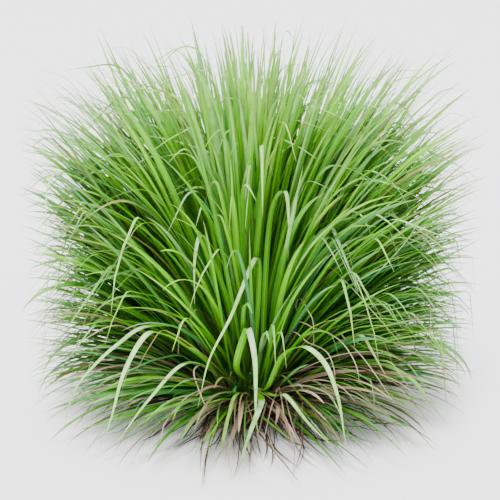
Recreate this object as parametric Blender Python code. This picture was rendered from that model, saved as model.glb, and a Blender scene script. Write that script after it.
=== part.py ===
"""A lemongrass clump: many leafy stalks growing from one crown, standing on the crown's flat underside.

Metres, +Z up, origin in the middle of the crown's underside, +Y away from the side that is seen.
Each stalk is a short stem of rolled leaf sheaths with long, narrow, keeled leaves fused to it.
"""

import math

import bmesh
import bpy
import numpy as np

# The clump as a whole: no leaf reaches outside this dome
CLUMP_HEIGHT = 0.965
SIDE_REACH = 0.570
BACK_REACH = 0.500
FRONT_REACH = 0.430
LOWEST_LEAF = 0.007

# The crown, which the stalks stand in
# Levels are height, radius and the share of the lumps; waves are count, height and offset of the lumps
CROWN_RADIUS = 0.116
CROWN_HEIGHT = 0.032
CROWN_LEVELS = [
    (0.0, 0.101, 0.3), (0.010, CROWN_RADIUS, 1.0), (0.022, 0.115, 1.0), (CROWN_HEIGHT, 0.108, 0.6),
]
CROWN_WAVES = [(7, 0.0031, 0.0), (11, 0.0019, 1.3)]
CROWN_SIDES = 28
SOCKET_FLOOR = 0.024
GAP = 0.0004

# Trimmed roots round the crown
ROOTS = 14
ROOT_SIDES = 4
ROOT_RADIUS = 0.0022
ROOT_TAPER = 0.6
ROOT_LENGTH = 0.020
ROOT_LENGTH_WAVE = (0.35, 3.1)
ROOT_SUNK = 0.016
ROOT_LEVEL = 0.012
ROOT_LEVEL_WAVE = (0.004, 1.7)
ROOT_SLOPE = math.radians(98)

# The stalks, set out like the seeds of a sunflower and numbered outwards
STALKS = 52
STALK_RING = 0.099
GOLDEN_ANGLE = math.radians(137.50776)
STEM_SIDES = 6
STEM_FOOT_RADIUS = 0.0074
STEM_BULB_RADIUS = 0.0082
STEM_TOP_RADIUS = 0.0046
STEM_HEIGHT = 0.150
STEM_HEIGHT_RANGE = (0.85, 1.15)
OUTER_STEM_HEIGHT = 0.75
STEM_TAPER = 0.8
STEM_UPRIGHT = 0.014
INNER_LEAN = math.radians(3)
OUTER_LEAN = math.radians(43)
LEAN_POWER = 1.25
LEAN_DRIFT = math.radians(2)
LEAN_FROM = 0.05
LEAN_OVER = 0.6

# Dry stalks stand in the outer ring, most of them at the front and the right
DRY_STALKS = (31, 39, 44, 46, 49)
DRY_LEAN = math.radians(61)
DRY_STEM_HEIGHT = 0.6
DRY_LENGTH = 0.500
DRY_LENGTH_RANGE = (0.7, 1.15)
DRY_BEND_RANGE = (math.radians(22), math.radians(62))
DRY_WIDTH = 0.75

# The leaves: where they leave the stem, as shares of its height, and how they spread from it
LEAVES_PER_STALK = 7
LOWEST_ROOT = 0.45
ROOT_RISE = 0.42
ROOT_OUT = 0.0020
FAN_SPREAD = math.radians(19)
FAN_RANGE = (0.6, 1.2)
FAN_YOUNGEST = 0.1
ASIDE_DRIFT = math.radians(5)
OLD_DROOP = math.radians(24)
OWN_WAY_FROM = 0.4
OWN_WAY_BY = 0.14

# Their length, width and section
INNER_LENGTH = 0.920
OUTER_LENGTH = 0.900
LENGTH_RANGE = (0.84, 1.06)
OLD_SHORTER = 0.1
SHORTER_PER_TRY = 0.006
LEAF_WIDTH = 0.0170
WIDTH_RANGE = (0.75, 1.12)
SHEATH_WIDTH = 0.52
FULL_WIDTH_BY = 0.32
TIP_ONSET = 4
TIP_TAPER = 0.8
LEAF_KEEL = 0.17

# How they arch, and how they turn about their own length
INNER_BEND = math.radians(18)
OUTER_BEND = math.radians(82)
BEND_POWER = 1.4
BEND_RANGE = (0.5, 1.5)
BEND_ONSET = (1.7, 3.2)
SWAY_DRIFT = math.radians(12)
ROLL_DRIFT = math.radians(18)
ROLL_BY = 0.3
TWIST_DRIFT = math.radians(35)
TWIST_ONSET = 1.5

# How finely a leaf is drawn
LEAF_STATIONS = 6
STATION_TURN = math.radians(95)
FINE_STEPS = 160

# Leaves bent over: the width of each, and points on its midline from above its stem to its tip
BENT_LEAVES = [
    (0.0135, [
        (-0.062, -0.100, 0.335), (-0.075, -0.110, 0.435), (-0.104, -0.135, 0.580),
        (-0.126, -0.170, 0.535),
    ]),
    (0.0140, [
        (-0.046, -0.130, 0.310), (-0.093, -0.155, 0.475), (-0.113, -0.165, 0.520),
        (-0.126, -0.195, 0.470), (-0.127, -0.215, 0.370),
    ]),
    (0.0135, [
        (0.032, -0.120, 0.260), (0.047, -0.130, 0.550), (0.080, -0.135, 0.615),
        (0.089, -0.165, 0.540), (0.087, -0.175, 0.460),
    ]),
    (0.0125, [
        (0.015, -0.130, 0.265), (0.017, -0.150, 0.460), (-0.045, -0.210, 0.335),
        (-0.094, -0.250, 0.245), (-0.120, -0.280, 0.140),
    ]),
    (0.0160, [
        (-0.032, -0.180, 0.195), (-0.012, -0.200, 0.290), (-0.002, -0.212, 0.302),
        (0.012, -0.235, 0.230), (0.014, -0.250, 0.100), (0.024, -0.260, 0.036),
    ]),
    (0.0175, [
        (0.039, -0.180, 0.140), (0.077, -0.210, 0.240), (0.124, -0.245, 0.277),
        (0.170, -0.280, 0.250), (0.199, -0.310, 0.180), (0.214, -0.330, 0.095),
        (0.221, -0.340, 0.060),
    ]),
    (0.0130, [
        (0.053, -0.205, 0.135), (0.084, -0.240, 0.150), (0.135, -0.290, 0.105),
        (0.196, -0.330, 0.058),
    ]),
    (0.0170, [
        (-0.144, -0.190, 0.250), (-0.203, -0.220, 0.300), (-0.241, -0.245, 0.302),
        (-0.286, -0.285, 0.230), (-0.317, -0.310, 0.125), (-0.345, -0.320, 0.053),
    ]),
    (0.0160, [
        (-0.134, -0.150, 0.270), (-0.239, -0.190, 0.305), (-0.309, -0.220, 0.270),
        (-0.359, -0.245, 0.230), (-0.397, -0.260, 0.187), (-0.419, -0.270, 0.137),
        (-0.434, -0.275, 0.073),
    ]),
    (0.0120, [
        (-0.145, -0.220, 0.225), (-0.227, -0.285, 0.168), (-0.291, -0.330, 0.092),
        (-0.311, -0.345, 0.053),
    ]),
    (0.0140, [
        (0.098, -0.070, 0.505), (0.163, -0.085, 0.610), (0.249, -0.105, 0.652),
        (0.290, -0.115, 0.655), (0.334, -0.130, 0.625), (0.370, -0.140, 0.570),
    ]),
    (0.0140, [
        (0.099, -0.120, 0.410), (0.138, -0.145, 0.510), (0.194, -0.170, 0.566),
        (0.242, -0.190, 0.580), (0.266, -0.200, 0.548), (0.273, -0.205, 0.526),
    ]),
    (0.0165, [
        (-0.135, -0.120, 0.340), (-0.236, -0.150, 0.523), (-0.347, -0.170, 0.631),
        (-0.421, -0.180, 0.672), (-0.450, -0.185, 0.645), (-0.460, -0.190, 0.577),
        (-0.466, -0.195, 0.493),
    ]),
    (0.0140, [
        (0.206, -0.130, 0.383), (0.247, -0.170, 0.485), (0.293, -0.200, 0.553),
        (0.327, -0.215, 0.571), (0.387, -0.225, 0.552), (0.470, -0.230, 0.521),
    ]),
    (0.0165, [
        (0.026, -0.190, 0.122), (0.022, -0.240, 0.118), (0.003, -0.300, 0.095),
        (-0.015, -0.350, 0.062), (-0.028, -0.390, 0.026),
    ]),
    (0.0170, [
        (0.144, 0.190, 0.250), (0.203, 0.235, 0.310), (0.241, 0.265, 0.318),
        (0.286, 0.310, 0.245), (0.310, 0.340, 0.140), (0.325, 0.350, 0.060),
    ]),
    (0.0140, [
        (-0.062, 0.120, 0.335), (-0.090, 0.165, 0.520), (-0.105, 0.185, 0.575),
        (-0.120, 0.215, 0.530), (-0.125, 0.235, 0.420),
    ]),
    (0.0160, [
        (-0.150, 0.150, 0.260), (-0.260, 0.215, 0.330), (-0.330, 0.250, 0.325),
        (-0.375, 0.275, 0.250), (-0.400, 0.290, 0.140),
    ]),
    (0.0140, [
        (0.050, 0.140, 0.300), (0.085, 0.190, 0.470), (0.105, 0.210, 0.510),
        (0.125, 0.235, 0.455), (0.130, 0.250, 0.360),
    ]),
]
BENT_ROOT = 0.72
BENT_TURN = 0.6

# Leaves of different stalks keep at least about this far apart
CELL = 0.005
PROBE_STEP = 0.0035
TRIES = 60
SEED = 48

GREEN = (0.135, 0.300, 0.030, 1)
STRAW = (0.420, 0.300, 0.190, 1)
ROOT_BROWN = (0.190, 0.125, 0.070, 1)


def clear_scene():
    for obj in list(bpy.data.objects):
        bpy.data.objects.remove(obj)


def material(name, colour, roughness):
    made = bpy.data.materials.new(name)
    made.use_nodes = True
    shader = made.node_tree.nodes["Principled BSDF"]
    shader.inputs["Base Color"].default_value = colour
    shader.inputs["Roughness"].default_value = roughness
    shader.inputs["Metallic"].default_value = 0.0
    return made


def unit(vectors):
    """Vectors along the last axis, each scaled to length 1."""
    return vectors / np.linalg.norm(vectors, axis=-1, keepdims=True)


def smooth(share):
    """0 before 0, 1 after 1, and an even S between."""
    share = np.clip(share, 0, 1)
    return share * share * (3 - 2 * share)


def direction(lean, heading):
    """Unit vectors that lean from upright towards a heading in plan."""
    lean, heading = np.broadcast_arrays(lean, heading)
    return np.stack([np.sin(lean) * np.cos(heading), np.sin(lean) * np.sin(heading), np.cos(lean)], axis=-1)


class Stalk:
    """Where a stalk stands, how it leans, and the line of its stem."""

    def __init__(self, index, rng):
        self.ring = math.sqrt((index + 0.5) / STALKS)
        self.heading = index * GOLDEN_ANGLE
        self.dry = index in DRY_STALKS
        self.lean = INNER_LEAN + (OUTER_LEAN - INNER_LEAN) * self.ring**LEAN_POWER
        self.lean += rng.normal(0, LEAN_DRIFT)
        self.height = STEM_HEIGHT * rng.uniform(*STEM_HEIGHT_RANGE)
        self.height *= 1 - (1 - OUTER_STEM_HEIGHT) * self.ring
        if self.dry:
            self.lean = DRY_LEAN
            self.height *= DRY_STEM_HEIGHT
        self.fan = rng.uniform(0, math.pi)
        radius = STALK_RING * self.ring
        foot = radius * direction(math.pi / 2, self.heading) + np.array([0, 0, SOCKET_FLOOR + GAP])
        along = np.linspace(0, 1, 3)
        leans = self.lean * smooth((along - LEAN_FROM) / LEAN_OVER)
        ways = direction(leans, self.heading)
        steps = ways[:-1] * (self.height / (len(along) - 1))
        upright = foot + np.array([0, 0, STEM_UPRIGHT])
        self.line = np.vstack([foot, upright, upright + np.cumsum(steps, axis=0)])
        radii = STEM_TOP_RADIUS + (STEM_BULB_RADIUS - STEM_TOP_RADIUS) * (1 - along[1:]) ** STEM_TAPER
        self.radii = np.concatenate([[STEM_FOOT_RADIUS, STEM_BULB_RADIUS], radii])
        self.ways = np.vstack([[0, 0, 1], [0, 0, 1], ways[1:]])

    def point(self, share):
        """The point on the stem's line, and its direction there, at a share of the way up."""
        place = share * (len(self.line) - 1)
        low = min(int(place), len(self.line) - 2)
        part = place - low
        return (
            self.line[low] * (1 - part) + self.line[low + 1] * part,
            unit(self.ways[low] * (1 - part) + self.ways[low + 1] * part),
        )


def draw_leaf(stalk, rank, attempt, rng):
    """One leaf's sizes and angles. Low ranks are the fan's old outer leaves, high ranks its young ones."""
    side = 1 if rank % 2 else -1
    youth = rank / (LEAVES_PER_STALK - 1)
    spread = side * FAN_SPREAD * (1 + FAN_YOUNGEST - youth) * rng.uniform(*FAN_RANGE)
    ring = stalk.ring
    length = INNER_LENGTH + (OUTER_LENGTH - INNER_LENGTH) * ring
    length *= 1 - OLD_SHORTER * (1 - youth)
    bend = INNER_BEND + (OUTER_BEND - INNER_BEND) * ring**BEND_POWER
    leaf = {
        "root": LOWEST_ROOT + ROOT_RISE * youth,
        "spread": spread,
        "aside": rng.normal(0, ASIDE_DRIFT),
        "droop": OLD_DROOP * (1 - youth) * ring**3,
        "length": length * rng.uniform(*LENGTH_RANGE),
        "bend": bend * rng.uniform(*BEND_RANGE),
        "onset": rng.uniform(*BEND_ONSET),
        "sway": rng.normal(0, SWAY_DRIFT),
        "roll": rng.normal(0, ROLL_DRIFT),
        "twist": rng.normal(0, TWIST_DRIFT),
        "width": LEAF_WIDTH * rng.uniform(*WIDTH_RANGE),
    }
    if stalk.dry:
        leaf["length"] = DRY_LENGTH * rng.uniform(*DRY_LENGTH_RANGE)
        leaf["bend"] = rng.uniform(*DRY_BEND_RANGE)
        leaf["width"] *= DRY_WIDTH
        leaf["droop"] = 0.0
    leaf["length"] *= 1 - SHORTER_PER_TRY * attempt
    return leaf


def leaf_frames(stalk, leaf):
    """The leaf's midline in even fine steps, with its directions along, across and out of its upper face.

    The root is sunk in its side of the stem. The midline leaves at a narrow angle, has its own way within a
    seventh of its length, then bends down by bend x share^onset. Roll and twist turn the blade about its
    midline.
    """
    root, stem_way = stalk.point(leaf["root"])
    share = np.linspace(0, 1, FINE_STEPS)
    along_stem = direction(stalk.lean + leaf["droop"], stalk.heading)
    fan_way = direction(math.pi / 2, stalk.fan)
    fan_way = unit(fan_way - (fan_way @ along_stem) * along_stem)
    side_way = np.cross(along_stem, fan_way)
    root = root + math.copysign(ROOT_OUT, leaf["spread"]) * fan_way
    way = unit(along_stem + math.tan(leaf["spread"]) * fan_way + math.tan(leaf["aside"]) * side_way)
    lean = math.acos(np.clip(way[2], -1, 1))
    heading = math.atan2(way[1], way[0])
    leans = lean + leaf["bend"] * share ** leaf["onset"]
    headings = heading + leaf["sway"] * share
    own = direction(leans, headings)
    away = OWN_WAY_FROM + (1 - OWN_WAY_FROM) * smooth(share / OWN_WAY_BY)[:, None]
    along = unit(stem_way * (1 - away) + own * away)
    step = leaf["length"] / (FINE_STEPS - 1)
    middles = (along[:-1] + along[1:]) / 2 * step
    line = root + np.vstack([[0, 0, 0], np.cumsum(middles, axis=0)])
    level = np.stack([-np.sin(headings), np.cos(headings), np.zeros_like(headings)], axis=-1)
    level = unit(level - (level * along).sum(axis=1, keepdims=True) * along)
    upper = np.cross(along, level)
    turn = (leaf["roll"] * smooth(share / ROLL_BY) + leaf["twist"] * share**TWIST_ONSET)[:, None]
    across = level * np.cos(turn) + upper * np.sin(turn)
    face = np.cross(along, across)
    return line, along, across, face


def leaf_width(leaf, share):
    """Narrow at the sheath, full by a third of the way, and drawn out to a fine tip."""
    opening = SHEATH_WIDTH + (1 - SHEATH_WIDTH) * smooth(share / FULL_WIDTH_BY)
    return leaf["width"] * opening * np.clip(1 - share**TIP_ONSET, 0, 1) ** TIP_TAPER


def leaf_stations(along):
    """Places along the leaf at even steps of length and turning together, so that bends get more of them."""
    turned = np.arccos(np.clip((along[:-1] * along[1:]).sum(axis=1), -1, 1))
    measure = np.concatenate([[0], np.cumsum(1 / len(turned) + turned / STATION_TURN)])
    wanted = np.linspace(0, measure[-1], LEAF_STATIONS)
    return np.searchsorted(measure, wanted[:-1])


def leaf_mesh(stalk, leaf):
    """Rings of three points, left edge, right edge and keel, as (rings, 3, 3), and the tip as (3,)."""
    line, along, across, face = leaf_frames(stalk, leaf)
    at = leaf_stations(along)
    share = np.linspace(0, 1, FINE_STEPS)[at]
    width = leaf_width(leaf, share)[:, None]
    return leaf_rings(line[at], across[at], face[at], width), line[-1]


def leaf_rings(line, across, face, width):
    """Two edges and a keel below them at each point of a midline."""
    half = across * width / 2
    return np.stack([line + half, line - half, line - face * width * LEAF_KEEL], axis=1)


def bent_leaf_mesh(stalk, width, route):
    """A leaf along a given route, with a ring at each of its points, turned a little towards the front."""
    line = np.vstack([stalk.point(BENT_ROOT)[0], np.array(route)])
    steps = unit(np.diff(line, axis=0))
    along = unit(np.vstack([steps[0], steps[:-1] + steps[1:], steps[-1]]))
    outward = unit((line[-1] - line[0]) * [1, 1, 0])
    aside = np.array([-outward[1], outward[0], 0])
    aside[0] += math.copysign(BENT_TURN, aside[0])
    across = unit(aside - (along @ aside)[:, None] * along)
    face = np.cross(along, across)
    length = np.concatenate([[0], np.cumsum(np.linalg.norm(np.diff(line, axis=0), axis=1))])
    widths = leaf_width({"width": width}, length / length[-1])[:, None]
    return leaf_rings(line, across, face, widths)[:-1], line[-1]


def probe_points(rings, tip):
    """Points all over a leaf, close together, in lines along every segment. The second result is True for
    those clear of the stem, past the leaf's first segment.
    """
    ends = np.concatenate([rings, np.repeat(tip[None, None], 3, axis=1)])
    mixes = np.array([[1, 0, 0], [0, 1, 0], [0, 0, 1], [0.5, 0.5, 0], [0.75, 0.25, 0], [0.25, 0.75, 0]])
    lines = np.einsum("ij,rjk->rik", mixes, ends)
    found, clear = [], []
    for number, (low, high) in enumerate(zip(lines[:-1], lines[1:])):
        steps = int(np.linalg.norm(high - low, axis=1).max() / PROBE_STEP) + 2
        part = np.linspace(0, 1, steps)[:, None, None]
        found.append((low * (1 - part) + high * part).reshape(-1, 3))
        clear.append(np.full(len(found[-1]), number > 0))
    return np.vstack(found), np.concatenate(clear)


def stem_points(stalk):
    """Points all over a stem, close together."""
    found = []
    turns = np.linspace(0, 2 * math.pi, 13)[:-1]
    for low in range(len(stalk.line) - 1):
        for part in np.linspace(0, 1, 9):
            centre = stalk.line[low] * (1 - part) + stalk.line[low + 1] * part
            for radius in (0.55 * stalk.radii[low], stalk.radii[low]):
                found.append(centre + radius * direction(math.pi / 2, turns))
    return np.vstack(found)


class Space:
    """A grid of cells that remembers which stalk fills each, so that different stalks' leaves stay apart."""

    def __init__(self):
        self.low = np.array([-SIDE_REACH - 0.03, -SIDE_REACH - 0.03, -0.02])
        size = ((-self.low * 2)[:2] / CELL).astype(int) + 1
        self.cells = np.full((size[0], size[1], int((CLUMP_HEIGHT + 0.06) / CELL)), -1, np.int16)
        self.own = self.cells.copy()
        reach = np.array([-1, 0, 1])
        self.around = np.stack(np.meshgrid(reach, reach, reach), axis=-1).reshape(-1, 3)

    def index(self, points):
        found = ((points - self.low) / CELL).astype(int)
        return np.clip(found, 1, np.array(self.cells.shape) - 2)

    def fill(self, points, owner):
        at = np.unique(self.index(points), axis=0)
        self.own[at[:, 0], at[:, 1], at[:, 2]] = owner
        at = (at[:, None] + self.around[None]).reshape(-1, 3)
        self.cells[at[:, 0], at[:, 1], at[:, 2]] = owner

    def is_free(self, points, clear, owner):
        """True if no point meets another stalk, and no point marked clear meets this stalk's own leaves."""
        at = self.index(points)
        held = self.cells[at[:, 0], at[:, 1], at[:, 2]]
        crossed = self.own[at[:, 0], at[:, 1], at[:, 2]] == owner
        return bool((((held == -1) | (held == owner)) & ~(crossed & clear)).all())


def inside_dome(points):
    """True if every point is within the clump's reach to its side, above the floor and below its top."""
    reach_y = np.where(points[:, 1] > 0, BACK_REACH, FRONT_REACH)
    plan = (points[:, 0] / SIDE_REACH) ** 2 + (points[:, 1] / reach_y) ** 2
    heights = points[:, 2]
    return bool(plan.max() <= 1 and heights.max() <= CLUMP_HEIGHT and heights.min() >= LOWEST_LEAF)


def nearest_stalk(stalks, point):
    """The number of the green stalk whose stem ends nearest to a point."""
    gaps = [9.0 if stalk.dry else np.linalg.norm(stalk.line[-1] - point) for stalk in stalks]
    return int(np.argmin(gaps))


def grow():
    """All stalks with the leaves that found room, as [(stalk, [(rings, tip)])]. Bent leaves come first."""
    rng = np.random.default_rng(SEED)
    stalks = [Stalk(index, rng) for index in range(STALKS)]
    space = Space()
    for owner, stalk in enumerate(stalks):
        space.fill(stem_points(stalk), owner)
    grown = [(stalk, []) for stalk in stalks]
    for width, route in BENT_LEAVES:
        owner = nearest_stalk(stalks, route[0])
        rings, tip = bent_leaf_mesh(stalks[owner], width, route)
        space.fill(probe_points(rings, tip)[0], owner)
        grown[owner][1].append((rings, tip))
    for rank in range(LEAVES_PER_STALK):
        for owner, stalk in enumerate(stalks):
            for attempt in range(TRIES):
                leaf = draw_leaf(stalk, rank, attempt, rng)
                rings, tip = leaf_mesh(stalk, leaf)
                if not inside_dome(np.vstack([*rings, tip])):
                    continue
                points, clear = probe_points(rings, tip)
                if space.is_free(points, clear, owner):
                    space.fill(points, owner)
                    grown[owner][1].append((rings, tip))
                    break
    return grown


def new_object(name, points, faces, finish=None):
    """A mesh object from points and faces, with its faces turned outwards."""
    mesh = bpy.data.meshes.new(name)
    mesh.from_pydata([tuple(map(float, p)) for p in points], [], faces)
    work = bmesh.new()
    work.from_mesh(mesh)
    bmesh.ops.recalc_face_normals(work, faces=work.faces)
    work.to_mesh(mesh)
    work.free()
    if finish:
        mesh.materials.append(finish)
    obj = bpy.data.objects.new(name, mesh)
    bpy.context.scene.collection.objects.link(obj)
    return obj


def tube_faces(rings, sides):
    """Side faces between rings of points, and a cap on each end."""
    faces = []
    for ring in range(rings - 1):
        for side in range(sides):
            a, b = ring * sides + side, ring * sides + (side + 1) % sides
            faces.append((a, b, b + sides, a + sides))
    faces.append(tuple(range(sides)))
    faces.append(tuple(range((rings - 1) * sides, rings * sides)))
    return faces


def stem_object(name, stalk, finish):
    """The stem: rings across its line, wide at the bulb and narrow at the top."""
    turns = np.arange(STEM_SIDES) * 2 * math.pi / STEM_SIDES + stalk.heading
    points = []
    for centre, way, radius in zip(stalk.line, stalk.ways, stalk.radii):
        one = unit(np.cross(way, [-math.sin(stalk.heading), math.cos(stalk.heading), 0.0]))
        two = np.cross(way, one)
        points += [centre + radius * (math.cos(turn) * one + math.sin(turn) * two) for turn in turns]
    return new_object(name, points, tube_faces(len(stalk.line), STEM_SIDES), finish)


def side_triangles(points, near, far, middle):
    """Two triangles between two corners of a ring and the same two of the next ring. They meet on the
    diagonal that lies further out, so that the sides of a twisted leaf never cross each other.
    """
    a, b, c, d = (points[corner] for corner in (near, far, far + 3, near + 3))
    outward = np.cross(c - a, d - b)
    outward = outward * math.copysign(1, outward @ (a + b + c + d - 4 * middle))
    if outward @ (a + c) >= outward @ (b + d):
        return [(near, far, far + 3), (near, far + 3, near + 3)]
    return [(near, far, near + 3), (far, far + 3, near + 3)]


def leaf_object(rings, tip):
    """A leaf as a row of three-sided prisms, drawn out to its tip."""
    points = np.vstack([*rings, tip])
    faces = [(0, 1, 2)]
    for low in range(0, (len(rings) - 1) * 3, 3):
        middle = points[low:low + 6].mean(axis=0)
        for side in range(3):
            faces += side_triangles(points, low + side, low + (side + 1) % 3, middle)
    last = (len(rings) - 1) * 3
    faces += [(last + side, last + (side + 1) % 3, last + 3) for side in range(3)]
    return new_object("leaf", points, faces)


def apply_modifier(obj, modifier):
    bpy.context.view_layer.objects.active = obj
    with bpy.context.temp_override(object=obj, active_object=obj, selected_objects=[obj]):
        bpy.ops.object.modifier_apply(modifier=modifier.name)


def join(obj, others, operation, solver):
    """Joins others to obj, or cuts them from it, with one Boolean, and removes them."""
    group = bpy.data.collections.new("operands")
    for other in others:
        group.objects.link(other)
        bpy.context.scene.collection.objects.unlink(other)
    modifier = obj.modifiers.new("join", "BOOLEAN")
    modifier.operation = operation
    modifier.solver = solver
    modifier.operand_type = "COLLECTION"
    modifier.collection = group
    apply_modifier(obj, modifier)
    for other in others:
        bpy.data.objects.remove(other)
    bpy.data.collections.remove(group)


def keep_outer_skin(obj):
    """Fusing leaves can seal a small hollow between them or leave a loose scrap, so only the largest skin
    stays. The result is True if that skin is closed and nowhere touches itself along an edge.
    """
    work = bmesh.new()
    work.from_mesh(obj.data)
    bmesh.ops.triangulate(work, faces=work.faces)
    left, skins = set(work.faces), []
    while left:
        skin, front = set(), [next(iter(left))]
        while front:
            face = front.pop()
            if face in left:
                left.discard(face)
                skin.add(face)
                plain_edges = [edge for edge in face.edges if len(edge.link_faces) == 2]
                front += [other for edge in plain_edges for other in edge.link_faces]
        skins.append(skin)
    largest = max(skins, key=lambda skin: sum(face.calc_area() for face in skin))
    spare = [face for skin in skins if skin is not largest for face in skin]
    bmesh.ops.delete(work, geom=spare, context="FACES")
    closed = all(len(edge.link_faces) == 2 for edge in work.edges)
    work.to_mesh(obj.data)
    work.free()
    return closed


def stalk_object(name, stalk, leaves, finish):
    """The stem and its leaves as one solid. A stalk whose skin doesn't close gets a leaf fewer."""
    stem = stem_object(name, stalk, finish)
    join(stem, [leaf_object(rings, tip) for rings, tip in leaves], "UNION", "MANIFOLD")
    if keep_outer_skin(stem):
        return len(leaves)
    bpy.data.objects.remove(stem)
    return stalk_object(name, stalk, leaves[:-1], finish)


def crown_object(stalks, finish):
    """A low lumpy cake of rootstock: a flat foot, a socket for each stalk, and trimmed roots round it."""
    turns = np.arange(CROWN_SIDES) * 2 * math.pi / CROWN_SIDES
    lumps = sum(height * np.sin(count * turns + offset) for count, height, offset in CROWN_WAVES)
    points = []
    for height, radius, share in CROWN_LEVELS:
        reach = radius + share * lumps
        ring = [reach * np.cos(turns), reach * np.sin(turns), np.full_like(turns, height)]
        points += list(np.stack(ring, axis=-1))
    crown = new_object("crown", points, tube_faces(len(CROWN_LEVELS), CROWN_SIDES), finish)
    join(crown, [root_object(number) for number in range(ROOTS)], "UNION", "MANIFOLD")
    join(crown, [socket_cutter(stalk) for stalk in stalks], "DIFFERENCE", "EXACT")
    return crown


def wave(size_and_step, number):
    """Makes the roots differ without chance: a height on a sine wave, one step further for each root."""
    size, step = size_and_step
    return size * math.sin(step * number)


def root_object(number):
    """One trimmed root: a stub that slopes down and out of the crown's side."""
    heading = number * GOLDEN_ANGLE
    outward = direction(ROOT_SLOPE, heading)
    level = np.array([-math.sin(heading), math.cos(heading), 0])
    raised = np.cross(level, outward)
    height = ROOT_LEVEL + wave(ROOT_LEVEL_WAVE, number)
    foot = (CROWN_RADIUS - ROOT_SUNK) * direction(math.pi / 2, heading) + np.array([0, 0, height])
    length = ROOT_LENGTH * (1 + wave(ROOT_LENGTH_WAVE, number)) + ROOT_SUNK
    points = []
    for way, radius in ((0, ROOT_RADIUS), (length, ROOT_TAPER * ROOT_RADIUS)):
        for turn in np.arange(ROOT_SIDES) * 2 * math.pi / ROOT_SIDES:
            aside = math.cos(turn) * level + math.sin(turn) * raised
            points.append(foot + way * outward + radius * aside)
    return new_object("root", points, tube_faces(2, ROOT_SIDES))


def socket_cutter(stalk):
    """A straight upright hole, a gap wider than the stem's foot."""
    turns = np.arange(STEM_SIDES) * 2 * math.pi / STEM_SIDES
    radius = STEM_BULB_RADIUS / math.cos(math.pi / STEM_SIDES) + GAP
    points = []
    for height in (SOCKET_FLOOR, 2 * CROWN_HEIGHT):
        for turn in turns + stalk.heading:
            x = stalk.line[0][0] + radius * math.cos(turn)
            y = stalk.line[0][1] + radius * math.sin(turn)
            points.append((x, y, height))
    return new_object("socket", points, tube_faces(2, STEM_SIDES))


def main():
    clear_scene()
    leaf_finish = material("leaf", GREEN, 0.45)
    dry_finish = material("dry_leaf", STRAW, 0.75)
    crown_finish = material("rootstock", ROOT_BROWN, 0.9)
    grown = grow()
    crown_object([stalk for stalk, _ in grown], crown_finish)
    green, dry, leaf_count = 0, 0, 0
    for stalk, leaves in grown:
        if stalk.dry:
            dry += 1
            leaf_count += stalk_object(f"dry_stalk_{dry:02d}", stalk, leaves, dry_finish)
        else:
            green += 1
            leaf_count += stalk_object(f"stalk_{green:02d}", stalk, leaves, leaf_finish)
    print(leaf_count, "leaves on", len(grown), "stalks")


main()
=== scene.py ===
import math

import bpy
import numpy as np
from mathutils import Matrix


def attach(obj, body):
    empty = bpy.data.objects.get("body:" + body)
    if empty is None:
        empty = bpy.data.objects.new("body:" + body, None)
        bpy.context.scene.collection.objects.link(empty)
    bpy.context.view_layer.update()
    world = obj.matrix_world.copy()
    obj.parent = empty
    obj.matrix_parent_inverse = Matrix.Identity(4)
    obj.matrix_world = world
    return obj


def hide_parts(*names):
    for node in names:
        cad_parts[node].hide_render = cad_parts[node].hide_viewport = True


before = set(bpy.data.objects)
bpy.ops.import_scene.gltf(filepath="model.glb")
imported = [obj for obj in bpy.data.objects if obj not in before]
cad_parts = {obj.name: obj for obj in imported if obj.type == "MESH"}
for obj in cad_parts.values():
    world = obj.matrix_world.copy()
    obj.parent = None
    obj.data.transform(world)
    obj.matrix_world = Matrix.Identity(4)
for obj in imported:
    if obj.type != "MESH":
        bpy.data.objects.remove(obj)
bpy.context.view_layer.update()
goldenAngle = math.radians(137.50776)


def radians(*degrees):
    # a range or a set of angles
    return tuple(math.radians(angle) for angle in degrees)


# The growing rule of the solids, with the same sizes and the same order of random draws,
# so that every main leaf here lies where its solid lies. Metres, +Z up, the photo's side is -Y.
clump = {
    "height": 0.965,
    "sideReach": 0.570,
    "backReach": 0.500,
    "frontReach": 0.430,
    "lowestLeaf": 0.007,
    "cell": 0.005,  # leaves of different stalks stay about this far apart
    "probeStep": 0.0035,
    "tries": 60,
    "seed": 48,
}

stalkRule = {
    "count": 52,
    "ring": 0.099,
    "footHeight": 0.0244,
    "footRadius": 0.0074,
    "bulbRadius": 0.0082,
    "topRadius": 0.0046,
    "height": 0.150,
    "heightRange": (0.85, 1.15),
    "outerHeight": 0.75,
    "upright": 0.014,
    "innerLean": math.radians(3),
    "outerLean": math.radians(43),
    "leanPower": 1.25,
    "leanDrift": math.radians(2),
    "dry": (31, 39, 44, 46, 49),
    "dryLean": math.radians(61),
    "dryHeight": 0.6,
}

leafRule = {
    "perStalk": 7,
    "lowestRoot": 0.45,  # where leaves leave the stem, as a share of its height
    "rootRise": 0.42,
    "rootOut": 0.0020,
    "fanSpread": math.radians(19),
    "fanRange": (0.6, 1.2),
    "asideDrift": math.radians(5),
    "oldDroop": math.radians(24),
    "ownWayBy": 0.14,
    "innerLength": 0.920,
    "outerLength": 0.900,
    "lengthRange": (0.84, 1.06),
    "shorterPerTry": 0.006,
    "width": 0.0170,
    "widthRange": (0.75, 1.12),
    "sheathWidth": 0.52,
    "fullWidthBy": 0.32,
    "keel": 0.17,
    "innerBend": math.radians(18),
    "outerBend": math.radians(82),
    "bendPower": 1.4,
    "bendRange": (0.5, 1.5),
    "bendOnset": (1.7, 3.2),
    "swayDrift": math.radians(12),
    "rollDrift": math.radians(18),
    "twistDrift": math.radians(35),
    "stations": 6,
    "stationTurn": math.radians(95),
    "fineSteps": 160,
    "dryLength": 0.500,
    "dryLengthRange": (0.7, 1.15),
    "dryBendRange": radians(22, 62),
    "dryWidth": 0.75,
}

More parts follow.
